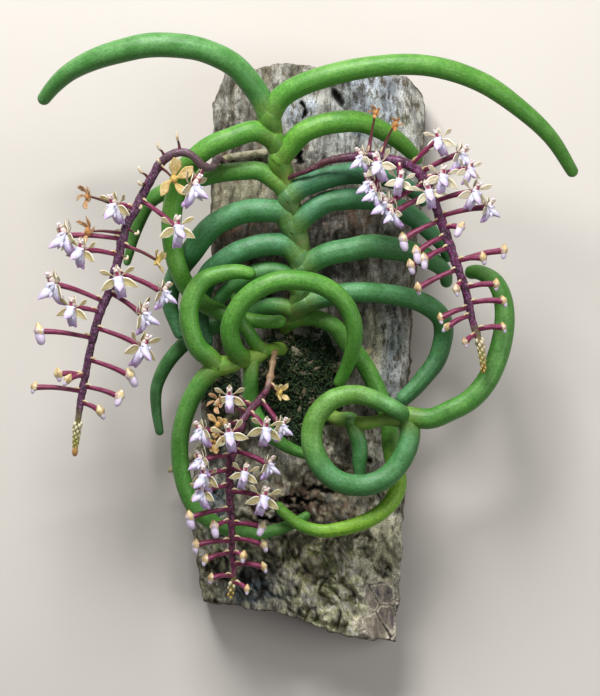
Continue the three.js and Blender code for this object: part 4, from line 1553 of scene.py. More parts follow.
@dataclass(frozen=True)
class Bud:
    """A closed flower: a pointed cap of three sepals over a narrower blunt spur that leans away."""

    cap: float = 4.2
    spur: float = 2.3
    width: float = 3.2

    def shell(self, lean: float, open_share: float) -> Shell:
        """The bud, upright.

        Args:
            lean: how far its spur leans sideways, with its sign.
            open_share: how far the spur has grown, from 0 in a small bud to 1 in one about to open.

        Returns:
            The bud, with the seams of its sepals marked.
        """
        half = self.width / 2
        top, middle, foot = 0.6 * self.cap, 0.22 * self.cap, -0.4 * self.cap
        line = [(-0.25 * lean, top, -0.1), (0, middle, 0.1), (0.12 * lean, foot, 0.3)]
        cap = pod(line, (0.18 * half, 1.0 * half, 0.62 * half), 13, 18)
        seam = np.cos(3 * FULL_TURN * cap.marks["around"] + 0.5)
        grown = float(ease(0.5, 1.0, np.array(open_share)))
        split = ease(0.3, -0.4, cap.places[:, 1] / self.cap - 0.35 * seam) * grown
        cap.marked(seam=ease(0.72, 0.97, seam), tip=1.0 - 0.85 * split)
        drop = self.spur * (1.15 + 0.5 * grown)
        line = [(0.05 * lean, 0.4, 0.3), (0.35 * lean, -0.55 * drop, 0.5), (0.8 * lean, -drop, 0.4)]
        radii = (0.7 * half, (0.58 + 0.25 * grown) * half, (0.38 + 0.25 * grown) * half)
        spur = pod(line, radii, 9, 12)
        dusty = 0.35 * (1 - grown) * ease(0.9, 0.2, spur.marks["tip"])
        return joined([cap, spur.marked(seam=0.0, tip=dusty)])


class Wilt(Enum):
    """How a flower has withered."""

    AMBER = "amber"
    RUST = "rust"
    PALE = "pale"
    TAN = "tan"
    SPENT = "spent"


@dataclass(frozen=True)
class WiltForm:
    """A withered flower's limbs: how many, how long and wide, how golden and bleached, how far curled."""

    limbs: int
    length: float
    width: float
    gold: float
    bleach: float
    curl: float
    dry: float

    def shell(self, index: int) -> Shell:
        """The limbs round a shrunken knob.

        Args:
            index: the flower's number, which varies the lengths and angles of its limbs.

        Returns:
            The withered flower, marked with how golden and how bleached it is.
        """
        knob = pod([(0, -1.2, 0), (0.2, 0, 0.4), (0, 1.1, 0.2)], (0.6, 0.95, 0.5), 7, 9)
        knob.places += 0.3 * noise(knob.places * 0.9 + index, 13, 2)[:, None]
        shells = [knob.marked(tip=0.1)]
        for limb in range(self.limbs):
            angle = FULL_TURN * limb / self.limbs + 0.45 * math.sin(index + 2.0 * limb)
            reach = self.length * (1 + 0.22 * math.sin(3.1 * limb + index))
            line = []
            for share in (0.1, 0.4, 0.7, 1.0):
                turn = angle + self.curl * share
                x, y = math.cos(turn) * reach * share, math.sin(turn) * reach * share
                line.append((x, y, 0.3 + 1.4 * share * share))
            made = blade(line, self.width * (1 + 0.25 * math.sin(1.7 * limb)), 0.42, 0.5, 9, 8, 1.2)
            shells.append(made.marked(tip=(0.5 + 0.5 * made.marks["tip"]) * self.bleach))
        return joined(shells).marked(gold=self.gold)


WILTS = {
    Wilt.AMBER: WiltForm(limbs=5, length=3.1, width=1.6, gold=0.95, bleach=0.6, curl=0.3, dry=0.7),
    Wilt.RUST: WiltForm(limbs=7, length=3.4, width=1.2, gold=0.25, bleach=0.45, curl=0.9, dry=0.9),
    Wilt.PALE: WiltForm(limbs=4, length=5.8, width=3.1, gold=0.85, bleach=0.5, curl=0.35, dry=1.0),
    Wilt.TAN: WiltForm(limbs=5, length=3.4, width=2.1, gold=0.55, bleach=0.35, curl=0.2, dry=0.6),
    Wilt.SPENT: WiltForm(limbs=7, length=2.0, width=0.7, gold=0.3, bleach=0.1, curl=0.7, dry=1.0),
}


@dataclass(frozen=True)
class Raceme:
    """A hanging flower spike: its axis, and each flower's place in the front view and turn in degrees.

    The axis has three widths: at its start, where it is full grown, and at its tip. Its growing tip
    carries tiny buds over the tip's length, and old_share of it from the start is brown. The nodes are
    swellings, by their distance from the start. The reach is how far in front of the axis a flower
    sits, and the lean is how far back along the axis its stalk starts.
    """

    name: str
    flower_size: float
    axis: Points
    blooms: Points
    wilted: tuple[tuple[Point, Wilt], ...]
    buds: Points
    hooks: Points
    finish: RacemeFinish
    widths: Point = (2.6, 2.7, 1.6)
    grown: float = 0.05
    old_share: float = 0.1
    tip_length: float = 9.0
    tip_buds: int = 34
    tip_gold: float = 0.3
    rusty_end: float = 0.0
    nodes: tuple[float, ...] = ()
    bud_rust: float = 0.0
    pedicel_width: float = 1.2
    reach: float = 3.8
    lean: float = 1.6
    most_turned: float = 1.2
    steps: int = 90
    sides: int = 16
    ring_step: float = 0.45
    pedicel_sides: int = 12
    pedicel_rings: int = 14

    def nearest(self, place: Point) -> tuple[Array, int]:
        """Places along the axis, and which of them is nearest to a flower's in the front view."""
        line = smooth_path(self.axis, self.steps + 1)
        return line, int(np.linalg.norm(line[:, :2] - place[:2], axis=1).argmin())

    def spot(self, place: Point, index: int, reach: float) -> tuple[Array, Array, Array]:
        """How a flower is placed.

        Args:
            place: its place in the front view, and its turn in degrees.
            index: its number, which varies its pitch and roll a little.
            reach: how far in front of the axis it sits if it isn't turned.

        Returns:
            Where its stalk leaves the axis, where the flower sits, and the matrix that turns it.
        """
        line, nearest = self.nearest(place)
        back = self.lean / path_length(line) * self.steps
        share = max(0.0, (nearest - back) / self.steps)
        root = smooth_path(self.axis, np.array([share]))[0]
        side = math.radians(place[2])
        centre = np.array([place[0], place[1], root[2] + reach * math.cos(side)])
        facing = max(-self.most_turned, min(self.most_turned, 1.35 * side))
        return root, centre, turned(0.1 * math.cos(index * 1.7), facing, 0.24 * math.sin(index * 2.4))

    def pedicel(self, root: Array, centre: Array, dry: float) -> Shell:
        """One flower stalk, which arches a little and widens towards its flower.

        Args:
            root: where it leaves the axis.
            centre: where its flower sits.
            dry: how far it has dried, from 0 to 1, which thins its end.

        Returns:
            The stalk, with three ribs, marked with how dry it is.
        """
        rings, sides = self.pedicel_rings, self.pedicel_sides
        bend = root + 0.6 * (centre - root) + (0, 0.4, 0)
        path = smooth_path([root, bend, centre], rings)
        share = np.linspace(0, 1, rings)
        radii = self.pedicel_width / 2 * (0.85 + 0.3 * (1 - share) ** 6 + (0.5 - 0.95 * dry) * share)
        ribs = 1 + 0.1 * np.cos(np.arange(sides) / sides * FULL_TURN * 3)
        shell = outward(tube(path, radii[:, None] * ribs, sides))
        return shell.marked(dry=dry * ease(0.15, 0.7, np.append(np.repeat(share, sides), [0, 1])))

    def scale_leaf(self, root: Array, centre: Array) -> Shell:
        """The small pale scale on the axis beside a flower stalk.

        Args:
            root: where the stalk leaves the axis.
            centre: where its flower sits.

        Returns:
            The scale.
        """
        out = unit((centre - root) * (1, 1, 0.4))
        start = root + out * 0.6 + (0, 0.6, 0.9)
        line = [start, start + out * 0.9 + (0, 0.3, 0.2), start + out * 1.9 + (0, 0.1, 0.3)]
        made = blade(line, 0.75, 0.32, 0.1, 6, 6)
        return made.marked(tip=0.55 + 0.3 * made.marks["tip"], gold=0.4)

    def growing_tip(self, length: float) -> list[Shell]:
        """Tiny buds in a spiral round the end of the axis, smaller towards its end.

        Args:
            length: the length of the axis.

        Returns:
            One shell for each, marked with how green, how golden and how creamy it is.
        """
        grains = []
        for i in range(self.tip_buds):
            step = i / (self.tip_buds - 1)
            share = 1 - (self.tip_length * (1 - step) + self.rusty_end * step) / length
            place, ahead = smooth_path(self.axis, np.array([share, min(1.0, share + 0.01)]))
            down = unit(ahead - place) if share < 0.99 else np.array([0, -1.0, 0])
            out = np.array([math.cos(2.4 * i), 0.1, math.sin(2.4 * i)])
            size = 1.0 - 0.4 * step
            start = place + 0.55 * out * (1.1 - 0.5 * step)
            line = [start + (down * a + out * b) * size for a, b in ((0, 0), (0.8, 0.45), (1.5, 0.4))]
            grain = pod(line, (0.32 * size, 0.55 * size, 0.2 * size), 6, 7)
            drawn = float(scatter(np.array([[i, 3]]), 5)[0])
            mellow = self.tip_gold + 0.5 * drawn * ease(0, 1, np.array(step))
            grain.marked(green=0.55 + 0.45 * step, gold=mellow, cream=0.8 * (1 - 1.3 * step))
            grains.append(grain)
        return grains

    def stalk(self, roots: Sequence[Array]) -> Shell:
        """The axis, knobbly at each flower stalk, with its growing tip.

        Args:
            roots: where the flower stalks leave it.

        Returns:
            The axis, marked with its green, golden, old and creamy stretches.
        """
        length = path_length(smooth_path(self.axis, LENGTH_STEPS))
        rings = int(length / self.ring_step)
        share = np.linspace(0, 1, rings)
        path = smooth_path(self.axis, rings)
        away = np.linalg.norm(path[:, None] - np.array(roots)[None], axis=2)
        nearness = np.exp(-((away / 0.9) ** 2)).sum(1)
        start, full, end = self.widths
        plain = start + (full - start) * ease(0, self.grown, share) + (end - full) * share**3
        uneven = noise(np.stack([share * length / 1.6, share], -1), 9, 2)
        swell = 1 + 0.14 * np.clip(nearness, 0, 1.4) + 0.07 * uneven
        for node in self.nodes:
            swell += 0.55 * np.exp(-(((share * length - node) / 0.8) ** 2))
        dome = np.sqrt(np.clip((1 - share) * 40, 0.1, 1))
        shell = outward(tube(path, plain / 2 * swell * dome, self.sides))
        along = shell.marks["along"]
        green = 0.5 * ease(length - 1.6 * self.tip_length, length - 0.6 * self.tip_length, along)
        old = 1 - ease(0.7 * self.old_share * length, 1.2 * self.old_share * length, along)
        shell.marked(green=green, gold=0.0, old=old, cream=0.0)
        parts = [shell, *(grain.marked(old=0.0) for grain in self.growing_tip(length))]
        if self.rusty_end:
            end_line = smooth_path(self.axis, 1 - np.array([1.0, 0.5, 0.0]) * self.rusty_end / length)
            stub = pod(end_line, (0.7, 0.85, 0.6), 9, 12)
            parts.append(stub.marked(green=0.0, gold=0.75, old=0.0, cream=0.0))
        return joined(parts)

    def hook(self, place: Point) -> tuple[Shell, Shell]:
        """A spent flower stalk with the hook of the dry column at its end.

        Args:
            place: where it ends in the front view.

        Returns:
            The brown stalk and the bleached hook.
        """
        line, nearest = self.nearest(place)
        root = line[nearest]
        end = np.array([place[0], place[1], root[2] + 1.5])
        out = unit(end - root)
        bends = ((-0.3, 0.0), (0.6, 0.2), (1.2, 0.8), (0.9, 1.4))
        hooked = [end + ahead * out + (0, rise, 0.3) for ahead, rise in bends]
        tip = pod(hooked, (0.4, 0.45, 0.36, 0.2), 8, 8).marked(tip=1.0, gold=0.5)
        return self.pedicel(root, end, 1.0), tip

    def shells(self) -> dict[Part, Shell]:
        """Every piece of the raceme: its flowers first, then their stalks and scales, then the axis."""
        bloom, bud = Bloom(), Bud()
        parts: dict[Part, list[Shell]] = {part: [] for part in Part}
        roots = []
        for i, place in enumerate(self.blooms):
            root, centre, turn = self.spot(place, i, self.reach)
            size = self.flower_size * (1 + 0.1 * math.sin(i * 2.1))
            parts[Part.TEPALS].append(bloom.tepals(math.sin(i * 1.3)).moved(turn, centre, size))
            parts[Part.LIPS].append(bloom.lip().moved(turn, centre, size))
            parts[Part.COLUMNS].append(bloom.column().moved(turn, centre, size))
            roots.append((root, centre, 0.0))
        for i, (place, wilt) in enumerate(self.wilted):
            root, centre, turn = self.spot(place, i, 0.6 * self.reach)
            form = WILTS[wilt]
            parts[Part.WITHERED].append(form.shell(i).moved(turn, centre, 0.15 + self.flower_size))
            roots.append((root, centre, form.dry))
        for i, place in enumerate(self.buds):
            root, centre, turn = self.spot(place, i, 0.7 * self.reach)
            share = i / len(self.buds)
            size = (0.1 + self.flower_size) * (1 - 0.35 * share)
            leaning = (-0.8 if place[2] < 0 else 0.8) * (0.8 + 0.5 * math.sin(2.7 * i))
            tipped = turned(0, 0, 0.35 * math.sin(1.9 * i + 0.7)) @ turn
            shape = bud.shell(leaning, 1 - share).marked(rusty=self.bud_rust * (0.3 + 0.7 * share))
            parts[Part.BUDS].append(shape.moved(tipped, centre, size))
            roots.append((root, centre, 0.0))
        for root, centre, dry in roots:
            parts[Part.PEDICELS].append(self.pedicel(root, centre, dry))
            parts[Part.WITHERED].append(self.scale_leaf(root, centre))
        for place in self.hooks:
            stub, tip = self.hook(place)
            parts[Part.PEDICELS].append(stub)
            parts[Part.WITHERED].append(tip)
        parts[Part.STALK].append(self.stalk([root for root, _, _ in roots]))
        return {part: joined(shells) for part, shells in parts.items()}

    def make(self) -> None:
        """Builds and dresses the raceme's pieces."""
        finish = self.finish
        skins = {
            Part.STALK: finish.stalk_skin,
            Part.PEDICELS: finish.pedicel_skin,
            Part.TEPALS: finish.tepal_skin,
            Part.LIPS: finish.lip_skin,
            Part.COLUMNS: finish.column_skin,
            Part.BUDS: finish.bud_skin,
            Part.WITHERED: finish.withered_skin,
        }
        for part, shell in self.shells().items():
            show(f"{self.name}_{part.value}", shell, skins[part](), "raceme", self.name)


@dataclass(frozen=True)
class MossFinish:
    """Dark wet moss: deep green shoots with fresher tips, and dry bits caught among them."""

    deep: str = "16221a"
    leaf: str = "2f4a2c"
    fresh: str = "6f8a4a"
    dry: str = "94836c"

    def material(self) -> Skin:
        """The finish as a material that reads the marks tip and dry."""
        sheet = Sheet("moss_skin")
        grain = sheet.speckle(4.0, detail=4)
        skin = sheet.over(
            self.deep,
            (self.leaf, sheet.speckle(0.8, detail=4).step(0.35, 0.6)),
            (self.fresh, sheet.mark("tip") * 0.55),
            (self.dry, sheet.mark("dry")),
        )
        return sheet.finish(sheet.shade(skin, grain, 0.6, 1.4), 0.9, grain, 0.3)


@dataclass(frozen=True)
class MossCushion:
    """A lumpy cushion of moss on the bark, covered in small leafy shoots and a few dry crumbs.

    Its half sizes are across, along and up, and its base is how high its edge lies. A leaflet is a
    spindle of four ridges, with its own half width and half thickness.
    """

    name: str
    centre: tuple[float, float]
    half: Point
    base: float
    shoots: int
    crumbs: int
    seed: int
    rings: int = 26
    sides: int = 72
    roughness: float = 0.35
    leaflets: int = 7
    shoot_length: float = 1.3
    leaflet_half: float = 0.3
    leaflet_thick: float = 0.14
    withered_share: float = 0.06

    def lump(self, u: Array, v: Array) -> Array:
        """How far the cushion swells at a place of its unit disc: two crossing waves and fine noise."""
        waves = 0.12 * np.sin(5 * u + 2 * v) * np.cos(4 * v - u)
        return 1 + waves + 0.07 * noise(np.stack([u * 4, v * 4], -1), self.seed, 2)

    def surface(self, u: Array, v: Array) -> Array:
        """The cushion's upper side.

        Args:
            u: the places across its unit disc.
            v: the places along it.

        Returns:
            The place over each, one row for each.
        """
        lump = self.lump(u, v)
        x = self.centre[0] + u * self.half[0] * lump
        y = self.centre[1] + v * self.half[1] * lump
        height = np.sqrt(np.clip(1 - u * u - v * v, 0, 1)) * self.half[2] * lump + self.base
        return np.stack([x, y, height], -1)

    def body(self) -> Shell:
        """The cushion itself: rings of a dome out to its edge, and a flat underside."""
        out = np.sin(np.linspace(0.04, math.pi / 2, self.rings))[::-1]
        angle = np.linspace(0, FULL_TURN, self.sides, endpoint=False)
        u, v = out[:, None] * np.cos(angle), out[:, None] * np.sin(angle)
        dome = self.surface(u.ravel(), v.ravel())
        ends = np.array([[*self.centre, self.base - 1.0], self.surface(np.zeros(1), np.zeros(1))[0]])
        places = np.vstack([dome, ends])
        places[: len(dome)] += self.roughness * noise(dome / 1.3, self.seed + 5, 2)[:, None]
        return outward(Shell(places, *ring_faces(self.rings, self.sides))).marked(tip=0.0, dry=0.0)

    def shoot(self, foot: Array, lean: Array, turn: float, dry: float) -> Shell:
        """One shoot: pointed leaflets in two rows along a short leaning stem.

        Args:
            foot: where it starts.
            lean: how far it leans across and along for each millimetre up.
            turn: the direction of its first leaflet, in radians.
            dry: how dry it is, from 0 to 1.

        Returns:
            Its leaflets, each a closed spindle of eight triangles.
        """
        step = np.linspace(0.1, 1.0, self.leaflets)[:, None]
        up = np.array([*lean, 1.0])
        hand = np.where(np.arange(self.leaflets) % 2, 1, -1)[:, None]
        side = np.array([math.cos(turn), math.sin(turn), 0.0]) * hand
        root = foot + up * self.shoot_length * step
        tip = root + side * (1.25 - 0.6 * step) + up * 0.75
        middle = root + 0.45 * (tip - root)
        across = np.cross(unit(tip - root), (0, 0, 1.0))
        over = self.leaflet_thick * np.cross(across, unit(tip - root))
        across = self.leaflet_half * across
        ring = np.stack([middle + across, middle + over, middle - across, middle - over], 1)
        places = np.concatenate([ring, root[:, None], tip[:, None]], axis=1).reshape(-1, 3)
        here, after = np.arange(4), (np.arange(4) + 1) % 4
        to_tip, to_root = np.full(4, 5), np.full(4, 4)
        cone = np.vstack([np.stack([here, after, to_tip], -1), np.stack([after, here, to_root], -1)])
        triangles = (cone[None] + 6 * np.arange(self.leaflets)[:, None, None]).reshape(-1, 3)
        tips = np.tile([0.3, 0.3, 0.3, 0.3, 0.0, 1.0], self.leaflets) * np.repeat(step[:, 0], 6)
        return outward(Shell(places, np.zeros((0, 4), int), triangles)).marked(tip=tips, dry=dry)

    def crumb(self, foot: Array, lean: Array, turn: float) -> Shell:
        """A dry crumb of leaf or bark fibre that lies on the moss.

        Args:
            foot: the place on the moss below its middle.
            lean: two random numbers, for its slope and its width.
            turn: its direction, in radians.

        Returns:
            The crumb.
        """
        out = np.array([math.cos(turn), math.sin(turn), 0.4 * lean[0]])
        line = [foot + out * far + (0, 0, 0.5 + 0.3 * math.sin(3 * far)) for far in (-1.6, 0.0, 1.4)]
        return blade(line, 0.9 + abs(lean[1]), 0.5, 0.2, 6, 7).marked(tip=0.0, dry=0.8)

    def shell(self) -> Shell:
        """The cushion with its shoots and crumbs, each drawn at random from the cushion's seed."""
        draws = np.random.default_rng(self.seed)
        count = self.shoots + self.crumbs
        radius, angle = np.sqrt(draws.uniform(0, 0.97, count)), draws.uniform(0, FULL_TURN, count)
        feet = self.surface(radius * np.cos(angle), radius * np.sin(angle))
        leans = draws.normal(0, 0.45, (count, 2))
        turns = draws.uniform(0, FULL_TURN, count)
        dry = np.where(draws.uniform(0, 1, count) < self.withered_share, 0.7, 0.0)
        parts = [self.body()]
        for i in range(self.shoots):
            parts.append(self.shoot(feet[i] - (0, 0, 0.3), leans[i], turns[i], dry[i]))
        for i in range(self.shoots, count):
            parts.append(self.crumb(feet[i], leans[i], turns[i]))
        return joined(parts)


# The studio

@dataclass(frozen=True)
class SoftLight:
    """A square soft light: its place and its side in millimetres, and its power in watts."""

    name: str
    place: Point
    side: float
    power: float

    def make(self, aim: Point) -> None:
        """Makes the light.

        Args:
            aim: the place that it faces, in millimetres.
        """
        light = bpy.data.lights.new(self.name, "AREA")
        light.size, light.energy = self.side * MM, self.power
        lamp = placed(self.name, light)
        lamp.location = np.array(self.place) * MM
        direction = (np.array(aim) - np.array(self.place)) * MM
        lamp.rotation_euler = Vector(direction).to_track_quat("-Z", "Y").to_euler()


@dataclass(frozen=True)
class Studio:
    """A pale floor, soft lights and the camera straight above the slab, all in millimetres."""

    floor: str = "d9d3cb"
    floor_cloud: str = "d3cdc5"
    floor_half: float = 3000.0
    floor_drop: float = 0.3
    floor_roughness: float = 0.9
    camera_x: float = -2.16
    camera_height: float = 1200.0
    width_seen: float = 162.0
    focus_height: float = 30.0
    sensor: float = 36.0
    aim: Point = (0, 0, 20.0)
    sky_colour: tuple[float, float, float, float] = (0.95, 0.97, 1.0, 1.0)
    sky_strength: float = 0.17
    lights: tuple[SoftLight, ...] = (
        SoftLight("key", (-120, 460, 400), 260, 5.2),
        SoftLight("side", (400, -40, 460), 320, 1.1),
    )

    def build(self) -> None:
        """Makes the floor, the lights, the sky and the camera."""
        self.make_floor()
        for light in self.lights:
            light.make(self.aim)
        world = bpy.data.worlds.new("studio")
        world.use_nodes = True
        sky = world.node_tree.nodes["Background"]
        sky.inputs["Color"].default_value = self.sky_colour
        sky.inputs["Strength"].default_value = self.sky_strength
        bpy.context.scene.world = world
        bpy.context.scene.view_settings.view_transform = "Standard"
        self.make_camera()

    def make_floor(self) -> None:
        """The floor: one wide sheet just under the slab."""
        mesh = bpy.data.meshes.new("floor")
        corners = np.array([(-1, -1), (1, -1), (1, 1), (-1, 1)]) * self.floor_half
        places = np.column_stack([corners, np.full(4, -self.floor_drop)]) * MM
        mesh.from_pydata(places, [], [(0, 1, 2, 3)])
        sheet = Sheet("floor_skin")
        tone = sheet.over(self.floor, (self.floor_cloud, sheet.speckle(0.02)))
        mesh.materials.append(sheet.finish(tone, self.floor_roughness))
        floor = placed("floor", mesh)

    def make_camera(self) -> None:
        """The camera: it looks straight down and sees the width at the plant's mean height."""
        lens = bpy.data.cameras.new("camera")
        lens.sensor_fit, lens.sensor_width = "HORIZONTAL", self.sensor
        lens.lens = self.sensor * (self.camera_height - self.focus_height) / self.width_seen
        camera = placed("camera", lens)
        camera.location = (self.camera_x * MM, 0, self.camera_height * MM)
        bpy.context.scene.camera = camera


# The slab's and the plant's measured lines, in millimetres, and their finishes

SLAB_OUTLINE = (
    (-28.5, -69), (-29.5, -59), (-32, -48), (-31.5, -36), (-29, -22), (-26.5, 0), (-26, 24), (-26, 43),
    (-26, 66), (-22.5, 75), (-15, 76), (-5.5, 77), (12, 75.5), (27, 74), (32, 68), (32, 57), (30, 30),
    (27.5, 0), (26, -36), (25.5, -58), (24, -80), (17, -79.5), (5.5, -77), (-6, -72.5), (-18.5, -70),
)
MAIN_STEM = (
    (-6.5, 5, 16.5), (-5.5, 6.8, 20.5), (-4, 9.5, 24.5), (-2.2, 14.5, 27.3), (-1.7, 24, 30), (-3, 32, 32),
    (-5, 40, 34), (-6.6, 47.5, 36), (-8.1, 54, 38), (-9.8, 60, 40), (-11, 64.5, 41.5),
)
LEFT_SHOOT = (
    (-6.5, -0.8, 16.5), (-8.2, -0.2, 23), (-11.5, -1, 27), (-16.5, -3, 29.5), (-21.5, -4.5, 31),
    (-25.5, -5, 32),
)
RIGHT_SHOOT = (
    (2, -14.5, 15.5), (4.5, -17.2, 20), (7.5, -19, 23), (11.5, -20, 25.8), (16, -20.3, 28),
    (22, -19, 29.5), (27, -18, 31),
)
